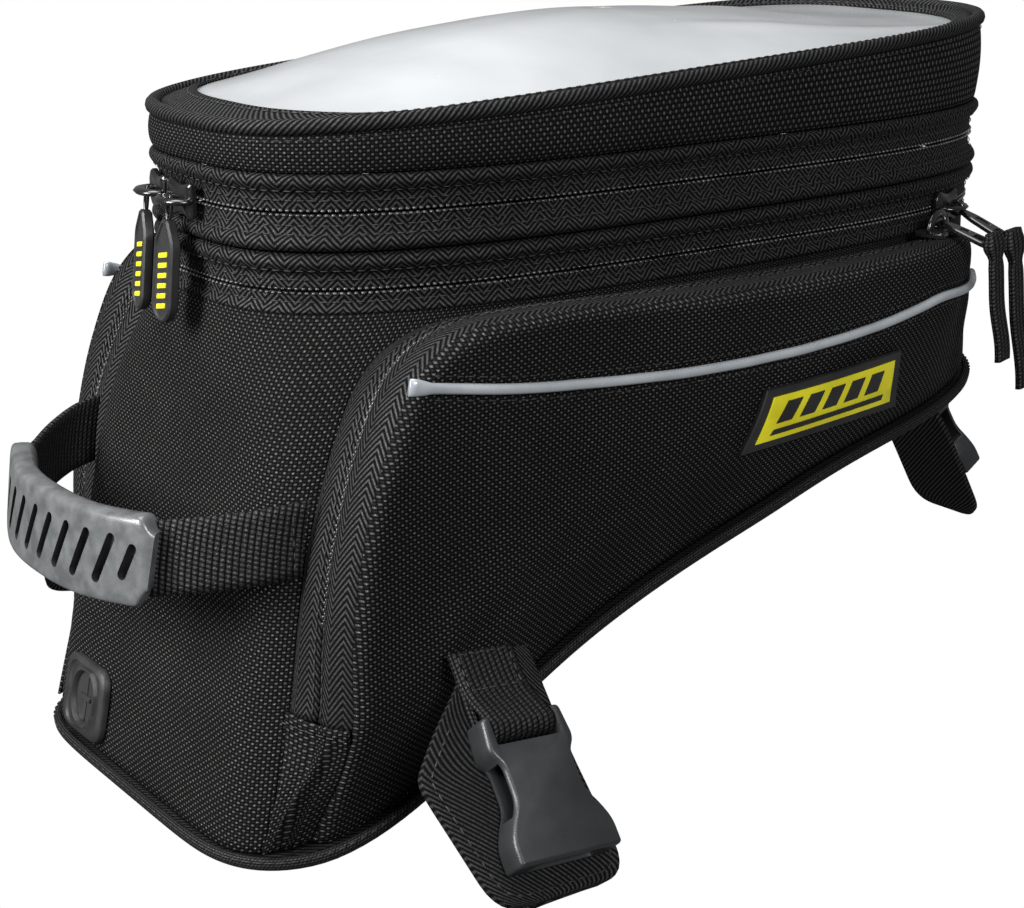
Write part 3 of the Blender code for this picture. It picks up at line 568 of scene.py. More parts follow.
def plate(name, outline, levels, finish):
    """Closed solid from a flat outline; levels are (inset, height) from one face to the other."""
    count = len(outline)
    rows = []
    for inset, height in levels:
        row = []
        for index, point in enumerate(outline):
            before = Vector(outline[index - 1])
            after = Vector(outline[(index + 1) % count])
            run = (after - before).normalized()
            inward = Vector((-run.y, run.x))
            row.append((*(Vector(point) + inward * inset), height))
        rows.append(row)
    mesh = bpy.data.meshes.new(name)
    vertices = [point for row in rows for point in row]
    faces = []
    for level in range(len(rows) - 1):
        for corner in range(count):
            beside = (corner + 1) % count
            faces.append((level * count + corner, level * count + beside,
                          (level + 1) * count + beside, (level + 1) * count + corner))
    faces.append(tuple(reversed(range(count))))
    faces.append(tuple((len(rows) - 1) * count + corner for corner in range(count)))
    mesh.from_pydata(vertices, [], faces)
    layer = mesh.uv_layers.new(name="cloth")
    for loop in mesh.loops:
        spot = mesh.vertices[loop.vertex_index].co
        layer.data[loop.index].uv = (spot.x + spot.z, spot.y)
    piece = add_mesh(name, mesh, finish)
    mesh.set_sharp_from_angle(angle=math.radians(38))
    return piece


def arc(centre, radius, start, end, count):
    points = []
    for index in range(count):
        angle = math.radians(start + (end - start) * index / (count - 1))
        points.append((centre[0] + radius * math.cos(angle), centre[1] + radius * math.sin(angle)))
    return points


def rounded(corners, radius, steps=5):
    """Closed outline with its corners rounded; corners run anticlockwise."""
    points = []
    count = len(corners)
    for index, corner in enumerate(corners):
        here = Vector(corner[:2])
        size = corner[2] if len(corner) > 2 else radius
        before = (Vector(corners[index - 1][:2]) - here)
        after = (Vector(corners[(index + 1) % count][:2]) - here)
        reach = min(size, before.length * 0.48, after.length * 0.48)
        start = here + before.normalized() * reach
        end = here + after.normalized() * reach
        for step in range(steps + 1):
            share = step / steps
            points.append(tuple(start.lerp(here, share).lerp(here.lerp(end, share), share)))
    return points


def cut(piece, tools, operation='DIFFERENCE'):
    for tool in tools:
        modifier = piece.modifiers.new("cut", 'BOOLEAN')
        modifier.operation = operation
        modifier.solver = 'EXACT'
        modifier.object = tool
    apply_modifiers(piece)
    for tool in tools:
        bpy.data.objects.remove(tool)
    return piece


def local_frame(origin, across, down):
    """Local X across, Y down the hanging piece, Z outward."""
    x = Vector(across).normalized()
    y = Vector(down).normalized()
    z = x.cross(y)
    return Matrix.Translation(origin) @ Matrix((x, y, z)).transposed().to_4x4()


def moved(piece, matrix):
    piece.data.transform(matrix)
    return piece


def sided(point, side):
    return Vector((point.x, side * point.y, point.z))


def for_side(rows, side):
    return rows if side > 0 else [[sided(point, side) for point in reversed(row)] for row in rows]


def mirrored(right):
    """Outline from its right half; each point has its own corner radius."""
    return right + [(-x, y, size) for x, y, size in reversed(right)]


def oblong(half_width, low, high):
    return [(half_width, low), (half_width, high), (-half_width, high), (-half_width, low)]


def bevelled(piece, width, angle):
    bevel = piece.modifiers.new("edges", 'BEVEL')
    bevel.width = width
    bevel.segments = 2
    bevel.limit_method = 'ANGLE'
    bevel.angle_limit = math.radians(angle)
    apply_modifiers(piece)
    piece.data.shade_smooth()


def dent(value, width):
    return math.exp(-(value / width) ** 2)


def ripple(point, size, seed=0.0):
    return noise.noise(Vector((point[0] / size + seed, point[1] / size - seed, point[2] / size + 2 * seed)))


# Body and floor

def build_body():
    rows = []
    columns, count = 260, 54
    feet = []
    for angle in turns(columns):
        low = 0.0
        for _ in range(10):
            low = floor_level(body_point(angle, low).x, FLOOR_THICKNESS + 0.0012)
        feet.append(low)
    for row in range(count + 1):
        share = row / count
        rows.append([body_point(angle, foot + (0.095 - foot) * share)
                     for angle, foot in zip(turns(columns), feet)])

    def drape(point, i, j):
        behind = ease((-point.x - 0.165) / 0.03)
        free = behind * ease((0.075 - abs(point.y)) / 0.02) * ease(i / 5) * ease((count - i) / 5)
        lump = 0.0016 * ripple(point, 0.045, 3.1) + 0.0007 * ripple(point, 0.018, 1.7)
        crease = -0.0016 * dent(point.z + 0.02 + 0.35 * (point.y + 0.02), 0.007) * ease(-point.y / 0.04)
        pulled = 0.0012 * math.sin(point.z / 0.0075 + 6 * point.y)
        pulled *= ease((point.y - 0.035) / 0.03) * ease((0.005 - point.z) / 0.03)
        return free * (lump + crease + pulled) - 0.0008 * ease((4 - i) / 4)

    rows = relieved(rows, drape, wrap=True)
    shell = grid("body_cloth", rows, BALLISTIC, wrap=True, thick=0.0018)
    place_on(shell, "root", ("rear_panel", "front_panel", "left_wall", "right_wall"))


def build_floor_edge():
    """Binding tape rolled over the floor's edge, with its row of stitches."""
    points, outs, seam = [], [], []
    for index in range(321):
        angle = 2 * math.pi * index / 320
        x, y = floor_outline(angle, -0.0012)
        points.append(Vector((x, y, saddle_height(x) + FLOOR_THICKNESS / 2)))
        out = Vector(floor_outline(angle, -0.01)) - Vector(floor_outline(angle))
        outs.append(out.to_3d().normalized())
        seam.append(points[-1] + outs[-1] * 0.0017 + Vector((0, 0, 0.0012)))
    roll = tube("floor_binding", points[:-1], 0.0024, BINDING, closed=True, sides=12, flat=0.75)
    place_on(roll, "root", ("base_binding",))
    sew("floor_binding_stitches", seam, outs, "root")


# Zip rings and lid

def ring_line(z, offset):
    points = []
    for angle in turns(RING_COLUMNS):
        point = body_point(angle, EXPANSION_ZIP_Z, offset)
        point.z = z(point.x) if callable(z) else z
        points.append(point)
    return points


def ring_outs():
    points = ring_line(0.1, 0.0)
    outs = []
    for before, after in zip(points[-1:] + points, points[1:] + points[:1]):
        ahead = after - before
        outs.append(Vector((ahead.y, -ahead.x, 0.0)).normalized())
    return outs + outs[:1]


def ring_tape(name, body, replaced, uneven, seed, profile):
    """Zip tape round the bag; its profile is (height, offset) pairs, made smooth between."""
    steps = 4
    rows = []
    for index in range((len(profile) - 1) * steps + 1):
        z, offset = spline(profile, index / steps)
        rows.append(ring_line(z, offset))
    last = len(rows) - 1

    def wander(point, i, j):
        lump = ripple(point, 0.05, seed) + 0.4 * ripple(point, 0.02, seed)
        return uneven * lump * ease(i / 6) * ease((last - i) / 6)

    tape = grid(name, relieved(rows, wander, wrap=True), ZIP_TAPE, wrap=True, thick=0.001)
    place_on(tape, body, (replaced,))


def ring_stitches(name, z, offset, body):
    points = ring_line(z, offset)
    sew(name, points + points[:1], ring_outs(), body)


def ring_coil(prefix, z, offset, lower_body, upper_body):
    """The two rows of a zip's coil, meeting between the tapes."""
    points = ring_line(z, offset)
    size = (0.0008, 0.00075, 0.0008)
    for name, shift, rise, body in (("lower", 0.0, -0.0008, lower_body),
                                    ("upper", TOOTH_PITCH / 2, 0.0008, upper_body)):
        line = [point + Vector((0, 0, rise)) for point in points + points[:1]]
        row = beads(prefix + "_coil_" + name, along_path(line, ring_outs(), TOOTH_PITCH, shift), size, COIL)
        place_on(row, body)


def build_rings():
    zip_z = EXPANSION_ZIP_Z
    lid_z = LID_ZIP_Z
    ring_tape("expansion_tape_lower", "root", "expansion_zip_lower_tape", 0.0003, 2.0,
              [(0.0938, 0.0002), (0.0946, 0.0014), (0.0958, 0.0022), (0.0972, 0.0014), (0.0985, 0.0006),
               (zip_z - 0.0012, 0.0005), (zip_z - 0.0004, 0.0002)])
    ring_tape("expansion_tape_upper", "collar", "expansion_zip_upper_tape", 0.0005, 5.0,
              [(zip_z + 0.0004, 0.0004), (zip_z + 0.0012, 0.0009), (0.1075, 0.0008), (0.1092, 0.0012),
               (0.1105, 0.0026), (0.1125, 0.0036), (0.1148, 0.003), (0.116, 0.001)])
    ring_tape("lid_tape_lower", "collar", "lid_zip_lower_tape", 0.0005, 8.0,
              [(0.1163, 0.0008), (0.1172, 0.003), (0.119, 0.004), (0.1212, 0.0034), (0.1226, 0.0018),
               (0.124, 0.0012), (lid_z - 0.0012, 0.001), (lid_z - 0.0004, 0.0006)])
    ring_tape("lid_tape_upper", "lid", "lid_zip_upper_tape", 0.0004, 11.0,
              [(lid_z + 0.0004, 0.0006), (lid_z + 0.0012, 0.001), (0.135, 0.0011), (0.1365, 0.0016),
               (0.1378, 0.003), (0.1398, 0.004), (0.1418, 0.0036), (0.1428, 0.0018)])
    ring_coil("expansion_zip", zip_z, 0.0008, "root", "collar")
    ring_coil("lid_zip", lid_z, 0.0013, "collar", "lid")
    for name, z, offset, body in (("expansion_low", 0.099, 0.0008, "root"),
                                  ("expansion_high", 0.1068, 0.0011, "collar"),
                                  ("collar_low", 0.1101, 0.0026, "collar"),
                                  ("collar_high", 0.1224, 0.0023, "collar"),
                                  ("lid_low", 0.1253, 0.0014, "collar"), ("lid_high", 0.1338, 0.0014, "lid"),
                                  ("lid_hem", 0.1371, 0.0024, "lid")):
        ring_stitches(name + "_stitches", z, offset, body)

    rows = [ring_line(0.096 + 0.0155 * index / 6, -0.0048) for index in range(7)]
    gusset = grid("expansion_gusset_cloth", rows, BALLISTIC, wrap=True, thick=0.0008)
    place_on(gusset, ("root", "collar", (0, 0, 0.096), (0, 0, 0.1115)), ("expansion_gusset",))
    strip = []
    for index in range(7):
        z = lid_z - 0.0065 + 0.013 * index / 6
        line = []
        for column in range(33):
            point = body_point(math.radians(-24 + 1.5 * column), EXPANSION_ZIP_Z, 0.003)
            point.z = z
            line.append(point)
        strip.append(line)
    hinge = grid("lid_hinge_cloth", strip, TWILL, thick=0.0008)
    bend = ("collar", "lid", (0.18, 0, lid_z - 0.005), (0.18, 0, lid_z + 0.005))
    place_on(hinge, bend, ("lid_hinge_strip",))


def dome_height(x, y):
    reach = (abs(x) / TOP_HALF_LENGTH) ** PLAN_POWER + (abs(y) / TOP_HALF_WIDTH) ** PLAN_POWER
    crown = 0.0195 - 0.45 * (x + 0.06) ** 2
    return lid_edge(x) + crown * max(1 - min(reach, 1.0) ** 0.65, 0.0)


def build_lid():
    count = 22
    rows = []
    for row in range(count + 1):
        share = row / count
        line = []
        for point in ring_line(0.0, 0.0016):
            bottom, top = LID_BAND_Z - 0.0002, lid_edge(point.x) - 0.0008
            line.append(Vector((point.x, point.y, bottom + (top - bottom) * share)))
        rows.append(line)

    def pillow(point, i, j):
        share = i / count
        swell = 0.0022 * (4 * share * (1 - share)) ** 0.6
        return swell + 0.0013 * ripple(point, 0.055, 4.0) * ease(i / 5) * ease((count - i) / 4)

    band = grid("lid_band_cloth", relieved(rows, pillow, wrap=True), LID_CLOTH, wrap=True, thick=0.0016)
    place_on(band, "lid", ("lid_band",))

    line = ring_line(lambda x: lid_edge(x) + 0.0002, 0.0018)
    piping = tube("lid_edge_piping", line, 0.0028, TWILL, closed=True, sides=12)
    place_on(piping, "lid", ("lid_piping",))
    ring_stitches("lid_piping_stitches", lambda x: lid_edge(x) - 0.004, 0.003, "lid")

    edge = ring_line(0.0, -0.0012)
    rows = []
    for ring in range(31):
        reach = 1 - 0.985 * (ring / 30) ** 1.1
        line = []
        for point in edge:
            x, y = point.x * reach, point.y * reach
            line.append(Vector((x, y, dome_height(x, y))))
        rows.append(line)

    def slack(point, i, j):
        sag = 0.0016 * ripple(point, 0.09, 6.0) + 0.0006 * ripple(point, 0.035, 2.0)
        fold = 0.0009 * dent(point.y + 0.035 + 0.16 * point.x, 0.006) * ease((point.x + 0.02) / 0.06)
        return (sag + fold) * ease(i / 6)

    sheet = grid("map_window_vinyl", relieved(rows, slack, wrap=True), VINYL, wrap=True, thick=0.0005)
    place_on(sheet, "lid", ("map_window",))
    rows = []
    for ring in range(5):
        line = []
        for point in edge:
            end = 1 - (0.004 + 0.078 * ease((abs(point.x) - 0.12) / 0.06)) * ring / 4
            x = point.x * end
            y = point.y * (1 - 0.035 * ring / 4)
            line.append(Vector((x, y, dome_height(x, y) + 0.001)))
        rows.append(line)
    border = grid("window_border_tape", rows, TWILL, wrap=True, thick=0.0006)
    place_on(border, "lid")
    inner = [point + Vector((0, 0, 0.0003)) for point in rows[3]]
    sew("window_border_stitches", inner + inner[:1], [Vector((0, 0, 1))] * (len(inner) + 1), "lid")


# Side pockets

PANEL_EDGE = WALL + 0.0016


def swing_line(side):
    """Start and end of the bend between the bag and an open pocket: the fold, and well above it."""
    along = (DOOR_FRONT - DOOR_REAR).normalized()
    rising = Vector((-along.z, 0.0, along.x))
    start = DOOR_REAR + rising * 0.002
    end = DOOR_REAR + rising * 0.056
    door = "left_door" if side > 0 else "right_door"
    return ("root", door, tuple(start), tuple(end))


def piping_height(x):
    return 0.069 + 0.62 * (x + 0.015) ** 2 - 0.011 * ease((x - 0.085) / 0.06)


def panel_relief(x, z):
    """How far the stuffed panel stands off its plain surface."""
    along = (x + 0.19) / 0.34
    lump = 0.0017 * ripple((x, 0.0, z), 0.06, 7.0) + 0.0008 * ripple((x, 0.0, z), 0.022, 9.0)
    dip = -0.0012 * dent(z - piping_height(x), 0.0045) * ease((x + 0.172) / 0.01)
    fold = 0.0015 * dent(x + 0.152 - 0.3 * (z + 0.02), 0.007) * ease((0.015 - z) / 0.03)
    crease = -0.0016 * dent(z - 0.012 - 0.55 * (x + 0.1), 0.006)
    crease *= ease((x + 0.165) / 0.03) * ease((-0.05 - x) / 0.03)
    return (lump + dip + fold + crease) * ease(along / 0.06)


def build_panel(side, prefix):
    columns, count = 150, 46
    lengths = []
    total, x = 0.0, -0.2
    while x < 0.152:
        lengths.append((x, total))
        slope = (pocket_half_width(x + 0.001, 0.07) - pocket_half_width(x - 0.001, 0.07)) / 0.002
        total += 0.002 * math.sqrt(1 + min(slope * slope, 9.0))
        x += 0.002

    def chart(point):
        index = min(max(int((point.x + 0.2) / 0.002), 0), len(lengths) - 1)
        start, length = lengths[index]
        return (length + (point.x - start), point.z * 1.02)

    lines = []
    for column in range(columns + 1):
        share = column / columns
        top_x, top_z = spline(GUSSET_OUTER, GUSSET_END * share)
        foot_x = -0.19 + (POCKET_FRONT_X + 0.19) * share
        foot_z = floor_level(foot_x, FLOOR_THICKNESS + 0.0014)
        length = math.hypot(top_x - foot_x, top_z - foot_z)
        line = []
        for row in range(count + 1):
            rise = (row / count) ** 0.85
            x = foot_x + (top_x - foot_x) * rise
            z = foot_z + (top_z - foot_z) * rise
            near = min((1 - rise) * length, 1.0)
            roll = 1 - math.sqrt(max(1 - (1 - min(near / 0.007, 1.0)) ** 2, 0.0))
            foot = ease(1 - rise * length / 0.006)
            stuffed = panel_relief(x, z) * (1 - roll) * (1 - foot) * ease(share * 30)
            inset = PANEL_EDGE * roll + 0.0012 * foot - stuffed
            line.append(pocket_point(x, z, inset))
        lines.append(line)
    rows = [[line[row] for line in reversed(lines)] for row in range(count + 1)]
    panel = grid(prefix + "_pocket_panel", for_side(rows, side), BALLISTIC, thick=0.0016, chart=chart)
    place_on(panel, swing_line(side), (prefix + "_pocket_door", prefix + "_pocket_skirt"))


def strip_rows(low, high):
    """Half of the strip between body and panel, with a rounded swell."""
    steps, across, swell = 170, 12, 0.0016
    rows = []
    for index in range(steps + 1):
        at = PATCH_END + (GUSSET_END - PATCH_END) * index / steps
        line = []
        for step in range(across, -1, -1):
            share = low + (high - low) * step / across
            half = (share % 0.5) / 0.5 if share < 0.9999 else 1.0
            rise = swell * (math.sin(math.pi * half) ** 0.7 if 0 < half < 1 else 0.0) - swell * 0.5
            line.append(gusset_point(at, share, rise))
        rows.append(line)
    return rows


def strip_seam(side, at_start, at_end, across, rise):
    steps = 160
    points, outs = [], []
    for index in range(steps + 1):
        at = at_start + (at_end - at_start) * index / steps
        point = gusset_point(at, across, rise)
        points.append(sided(point, side))
        outs.append(sided(gusset_point(at, across, rise + 0.01) - point, side))
    return points, outs


def build_strip(side, prefix):
    halves = (("inner", "root", "_pocket_gusset", 0.0, 0.494, 0.435, 0.488, 0.0),
              ("outer", swing_line(side), "_door_gusset", 0.506, 1.0, 0.565, 0.512, TOOTH_PITCH / 2))
    for name, body, node, low, high, seam, tooth, shift in halves:
        rows = for_side(strip_rows(low, high), side)
        tape = grid("%s_strip_%s" % (prefix, name), rows, GUSSET_TAPE, thick=0.001)
        place_on(tape, body, (prefix + node,))
        points, outs = strip_seam(side, PATCH_END + 0.05, GUSSET_END, seam, 0.0004)
        sew("%s_strip_%s_stitches" % (prefix, name), points, outs, body)
        points, outs = strip_seam(side, DOOR_START, DOOR_END, tooth, -0.0008)
        row = beads("%s_pocket_coil_%s" % (prefix, name), along_path(points, outs, TOOTH_PITCH, shift),
                    (0.0008, 0.0006, 0.0006), COIL)
        place_on(row, body)


def build_patch(side, prefix):
    rows = []
    for index in range(31):
        share = index / 30
        at = 0.02 + (PATCH_END - 0.02) * share
        line = []
        for step in range(25):
            across = step / 24
            fold = 0.002 * dent(across - 0.3 - 0.55 * share, 0.1)
            fold -= 0.0012 * dent(across - 0.55 - 0.3 * share, 0.08)
            fold *= ease(share / 0.2) * ease((1 - share) / 0.1)
            puff = 0.001 * math.sin(math.pi * across)
            hem = 0.0014 * dent(1 - share, 0.08)
            line.append(gusset_point(at, across, fold + puff + hem))
        rows.append(list(reversed(line)))
    patch = grid(prefix + "_corner_patch_cloth", for_side(rows, side), BALLISTIC, thick=0.0014)
    place_on(patch, "root", (prefix + "_corner_patch",))
    points = [sided(gusset_point(PATCH_END - 0.11, step / 24, 0.0026), side) for step in range(25)]
    sew(prefix + "_patch_stitches", points, [Vector((-1.0, 0.0, 0.2))] * 25, "root")


def build_reflective(side, prefix):
    """Silver piping in the panel's seam, with a flat tab where it starts."""
    points = []
    for index in range(121):
        x = -0.1645 + 0.3095 * index / 120
        z = piping_height(x)
        depth = -0.0016 + 0.0012 * ease((-0.158 - x) / 0.008) - panel_relief(x, z) * 0.9
        points.append(sided(pocket_point(x, z, depth), side))
    rows = []
    for index, point in enumerate(points):
        ahead = points[min(index + 1, 120)] - points[max(index - 1, 0)]
        out = ahead.cross(Vector((0, 0, 1))).normalized() * (-side)
        over = out.cross(ahead).normalized() * side
        if over.z < 0:
            over = -over
        tab = ease((-0.156 - point.x) / 0.006)
        thin = out * 0.0019 * (1 - 0.55 * tab)
        tall = over * 0.0019 * (1 + 0.55 * tab)
        rows.append([point + thin * math.cos(angle) + tall * math.sin(angle) for angle in turns(12)])
    piece = grid(prefix + "_reflective_cord", capped(rows), BEADED, wrap=True)
    clean(piece)
    place_on(piece, swing_line(side), (prefix + "_reflective_piping",))
    for name, drop in (("upper", 0.004), ("lower", -0.0042)):
        line = []
        for index in range(2, 121):
            x = -0.16 + 0.3 * index / 120
            z = piping_height(x) + drop
            line.append(sided(pocket_point(x, z, -0.0001 - panel_relief(x, z)), side))
        outs = [Vector((0, side, 0))] * len(line)
        sew("%s_piping_%s_stitches" % (prefix, name), line, outs, swing_line(side))


def badge_point(u, v, lift, side):
    """Point over the badge: u from the rear to the front, v from the bottom to the top."""
    x = -0.0185 + 0.085 * u + 0.008 * v * (1 - u) + 0.01 * u * (1 - v)
    z = 0.0325 + 0.0245 * v + 0.002 * u * v
    return sided(pocket_point(x, z, -lift - 0.0012), side)


def badge_patch(name, corners, low, high, finish, side, rim=0.0004, cells=10):
    """Raised tile on the badge between four (u, v) corners, with a softened edge."""
    rows = []
    corners = [Vector(corner) for corner in corners]
    middle = sum(corners, Vector((0, 0))) / 4

    def outline(shrink):
        return [start.lerp(end, step / cells).lerp(middle, shrink)
                for start, end in zip(corners, corners[1:] + corners[:1]) for step in range(cells)]

    levels = [(0.0, low), (0.0, high - rim)] + [(shrink, high) for shrink in (0.012, 0.35, 0.7, 0.995)]
    for shrink, lift in levels:
        rows.append([badge_point(point.x, point.y, lift, side) for point in outline(shrink)])
    piece = grid(name, rows, finish, wrap=True, flip=side > 0)
    clean(piece, 1e-5)
    piece.data.set_sharp_from_angle(angle=math.radians(35))
    return piece


def build_badge(side, prefix):
    """Rubber badge: black frame, yellow face and five plain slanted bars with a line under them."""
    whole = [(0, 0), (1, 0), (1, 1), (0, 1)]
    base = badge_patch(prefix + "_badge_frame", whole, -0.0006, 0.0014, RUBBER, side, 0.0005, 14)
    place_on(base, "root", (prefix + "_badge",))
    face = badge_patch(prefix + "_badge_face", [(0.055, 0.13), (0.945, 0.13), (0.945, 0.87), (0.055, 0.87)],
                       0.0012, 0.0018, YELLOW, side, 0.0003, 14)
    place_on(face, "root")
    for index in range(5):
        start = 0.13 + 0.15 * index
        bar = badge_patch("%s_badge_bar_%d" % (prefix, index + 1),
                          [(start, 0.42), (start + 0.095, 0.42), (start + 0.125, 0.76), (start + 0.03, 0.76)],
                          0.0016, 0.0022, RUBBER, side, 0.0003, 5)
        place_on(bar, "root")
    line = badge_patch(prefix + "_badge_line", [(0.12, 0.23), (0.87, 0.23), (0.88, 0.32), (0.13, 0.32)],
                       0.0016, 0.0022, RUBBER, side, 0.0003, 10)
    place_on(line, "root")


# Sliders and pulls

def slider_piece(name):
    """Zip slider: rounded top plate with a waist, flange edges and a crown that holds the pull."""
    half = [(0.0092, 0.003), (0.0084, 0.0068), (0.001, 0.0046), (-0.007, 0.0072), (-0.0096, 0.004)]
    outline = rounded(half + [(x, -y) for x, y in reversed(half)], 0.0028, 4)
    levels = [(0.0005, 0.0006), (0.0, 0.001), (0.0, 0.0024), (0.0005, 0.003), (0.0016, 0.0034)]
    body = plate(name, outline, levels, BLACK_METAL)
    arch = []
    for index in range(17):
        angle = math.pi * index / 16
        rise = (SLIDER_BAR - 0.0004) * math.sin(angle) ** 0.7
        arch.append(Vector((0.0068 * math.cos(angle), 0.0, 0.0022 + rise)))
    crown = tube(name + "_crown", arch, 0.0013, BLACK_METAL, sides=8, flat=2.2, up=Vector((0, 1, 0)))
    return join_pieces([body, crown], name)


def join_pieces(pieces, name):
    """One object from several, keeping each one's finish."""
    with bpy.context.temp_override(active_object=pieces[0], object=pieces[0], selected_objects=pieces,
                                   selected_editable_objects=pieces):
        bpy.ops.object.join()
    pieces[0].name = name
    return pieces[0]


def eye_piece(name):
    ring = [Vector((0.0, 0.0028 * math.cos(angle) + 0.0004, 0.0027 * math.sin(angle))) for angle in turns(20)]
    return tube(name + "_eye", ring, 0.0008, BLACK_METAL, closed=True, sides=8, up=Vector((1, 0, 0)))


def rubber_pull(name):
    """Moulded puller on a wire loop, with a raised rim and plain yellow marks."""
    right = [(0.002, 0.0068, 0.001), (0.004, 0.01, 0.003), (0.0068, 0.0145, 0.003), (0.007, 0.04, 0.006)]
    left = [(-x, y, size) for x, y, size in reversed(right)]
    outline = rounded(right + [(0.0, 0.044, 0.006)] + left, 0.003)
    levels = [(0.0008, -0.002), (0.0, -0.0013), (0.0, 0.0013), (0.0007, 0.002), (0.0014, 0.002),
              (0.0018, 0.0014)]
    body = plate(name, outline, levels, RUBBER)
    loop = [Vector((0.0017 * math.sin(angle), 0.003 - 0.0045 * math.cos(angle), 0.0)) for angle in turns(24)]
    wire = tube(name + "_wire", loop, 0.0006, BLACK_METAL, closed=True, sides=8)
    marks = []
    for index in range(6):
        y = 0.0178 + 0.0036 * index
        shape = [(-0.003, y), (0.003, y + 0.0012), (0.003, y + 0.003), (-0.003, y + 0.0018)]
        marks.append(plate("%s_mark_%d" % (name, index), rounded(shape, 0.0003, 2),
                           [(0.0, 0.001), (0.0, 0.0017), (0.0002, 0.0019)], YELLOW))
    return join_pieces([body, wire] + marks, name)


def metal_pull(name, length):
    right = [(0.0016, 0.0034), (0.0036, 0.009), (0.0046, length - 0.002), (0.004, length)]
    outline = rounded(right + [(-x, y) for x, y in reversed(right)], 0.002, 4)
    levels = [(0.0004, -0.001), (0.0, -0.0006), (0.0, 0.0006), (0.0004, 0.001)]
    body = plate(name, outline, levels, BLACK_METAL)
    slot = plate("slot_tool", rounded(oblong(0.0026, length - 0.0075, length - 0.0025), 0.001, 3),
                 [(0.0, -0.003), (0.0, 0.003)], BLACK_METAL)
    tapered = [(0.0018, 0.01), (0.0024, length - 0.01), (-0.0024, length - 0.01), (-0.0018, 0.01)]
    groove = plate("groove_tool", rounded(tapered, 0.001, 3), [(0.0, 0.0006), (0.0, 0.003)], BLACK_METAL)
    cut(body, [slot, groove])
    body.data.set_sharp_from_angle(angle=math.radians(35))
    return join_pieces([body, eye_piece(name)], name)


def web_tail(name, start, length, turn):
    """Doubled webbing tail with a knotted top and a cut, melted end."""
    rows = []
    steps = 34
    for index in range(steps + 1):
        share = index / steps
        y = start - 0.006 + (length + 0.006) * share
        swell = 1.0 + 0.35 * dent(share - 0.1, 0.06) - 0.25 * dent(share - 0.2, 0.04)
        thick = 0.0013 * (1 + 0.7 * dent(share - 0.1, 0.08))
        wave = 0.0008 * math.sin(share * 9) * share
        ring = []
        for angle in turns(16):
            x = 0.0054 * swell * max(min(1.25 * math.cos(angle), 1.0), -1.0)
            ring.append(Vector((x, y, thick * max(min(1.5 * math.sin(angle), 1.0), -1.0) + wave)))
        rows.append(ring)
    tail = grid(name, capped(rows), TAIL_WEB, wrap=True, flip=True)
    clean(tail)
    top = Matrix.Translation((0, start, 0))
    return moved(tail, top @ Matrix.Rotation(turn, 4, 'X') @ top.inverted())


def add_slider(prefix, origin, along, outward, lean, make_pull, nodes, bodies):
    """Slider and hanging pull; lean is the pull's angle off vertical, and its direction on a level slider."""
    out = Vector(outward).normalized()
    across = Vector(along).normalized()
    place = local_frame(origin, across, out.cross(across))
    piece = moved(slider_piece(prefix + "_zip_slider"), place)
    place_on(piece, bodies[0], nodes[:1])
    bar = place @ Vector((0.0, 0.0, SLIDER_BAR))
    angle = math.radians(lean[0])
    level = Vector((out.x, out.y, 0.0)) if abs(out.z) < 0.9 else lean[1]
    horizontal = level.normalized()
    hang = horizontal * math.sin(angle) - Vector((0, 0, 1)) * math.cos(angle)
    swing = horizontal.cross(Vector((0, 0, 1)))
    hung = local_frame(bar, swing, hang)
    pull = moved(make_pull(prefix + "_zip_pull"), hung)
    place_on(pull, bodies[1], nodes[1:])
    return hung


def build_sliders():
    for side, angle in (("left", 168.3), ("right", 180.0)):
        turn = math.radians(angle)
        outward = Vector((math.cos(turn), math.sin(turn), 0.0))
        surface = Vector((-0.0816, 0.0, LID_ZIP_Z)) + outward * LID_SLIDER_ARC
        nodes = ("lid_slider_" + side, "lid_pull_" + side)
        bodies = (side + "_lid_slider", side + "_lid_pull")
        add_slider(side + "_lid", surface, Vector((0, 0, 1)).cross(outward), outward, (6, None), rubber_pull,
                   nodes, bodies)
    before, corner, after = (body_point(math.radians(turn), EXPANSION_ZIP_Z, 0.001)
                             for turn in (-54, -50, -46))
    ahead = after - before
    names = ("expansion_slider", "expansion_pull")
    hung = add_slider("expansion", corner, ahead, ahead.cross(Vector((0, 0, 1))), (66, None),
                      lambda name: metal_pull(name, 0.027), names, names)
    tail = moved(web_tail("expansion_zip_tail", 0.0292, 0.06, math.radians(8 - 66)), hung)
    place_on(tail, "expansion_pull", ("expansion_pull_tail",))
    for side, prefix in ((1, "left"), (-1, "right")):
        here = gusset_point(11.95, 0.5, 0.0008)
        along = (gusset_point(12.1, 0.5) - gusset_point(11.8, 0.5)) * side
        along.z = 0.0
        outward = Vector((-along.y, along.x, 0.0)) * side
        names = (prefix + "_pocket_slider", prefix + "_pocket_pull")
        hung = add_slider(prefix + "_pocket", sided(here, side), sided(along, side), (0, 0, 1),
                          (72, sided(outward, side)), lambda name: metal_pull(name, 0.024), names, names)
        tail = moved(web_tail(prefix + "_pocket_zip_tail", 0.0262, 0.046, math.radians(8 - 72)), hung)
        place_on(tail, prefix + "_pocket_pull", (prefix + "_pull_tail",))


# Carry handle

def handle_line():
    half = [(-0.187, 0.081, 0.0275), (-0.199, 0.0772, 0.0262), (-0.213, 0.0675, 0.024),
            (-0.224, 0.057, 0.022), (-0.23, 0.0495, 0.021), (-0.2385, 0.026, 0.02),
            (-0.241, 0.0, 0.02)]
    return half + [(x, -y, z) for x, y, z in reversed(half[:-1])]


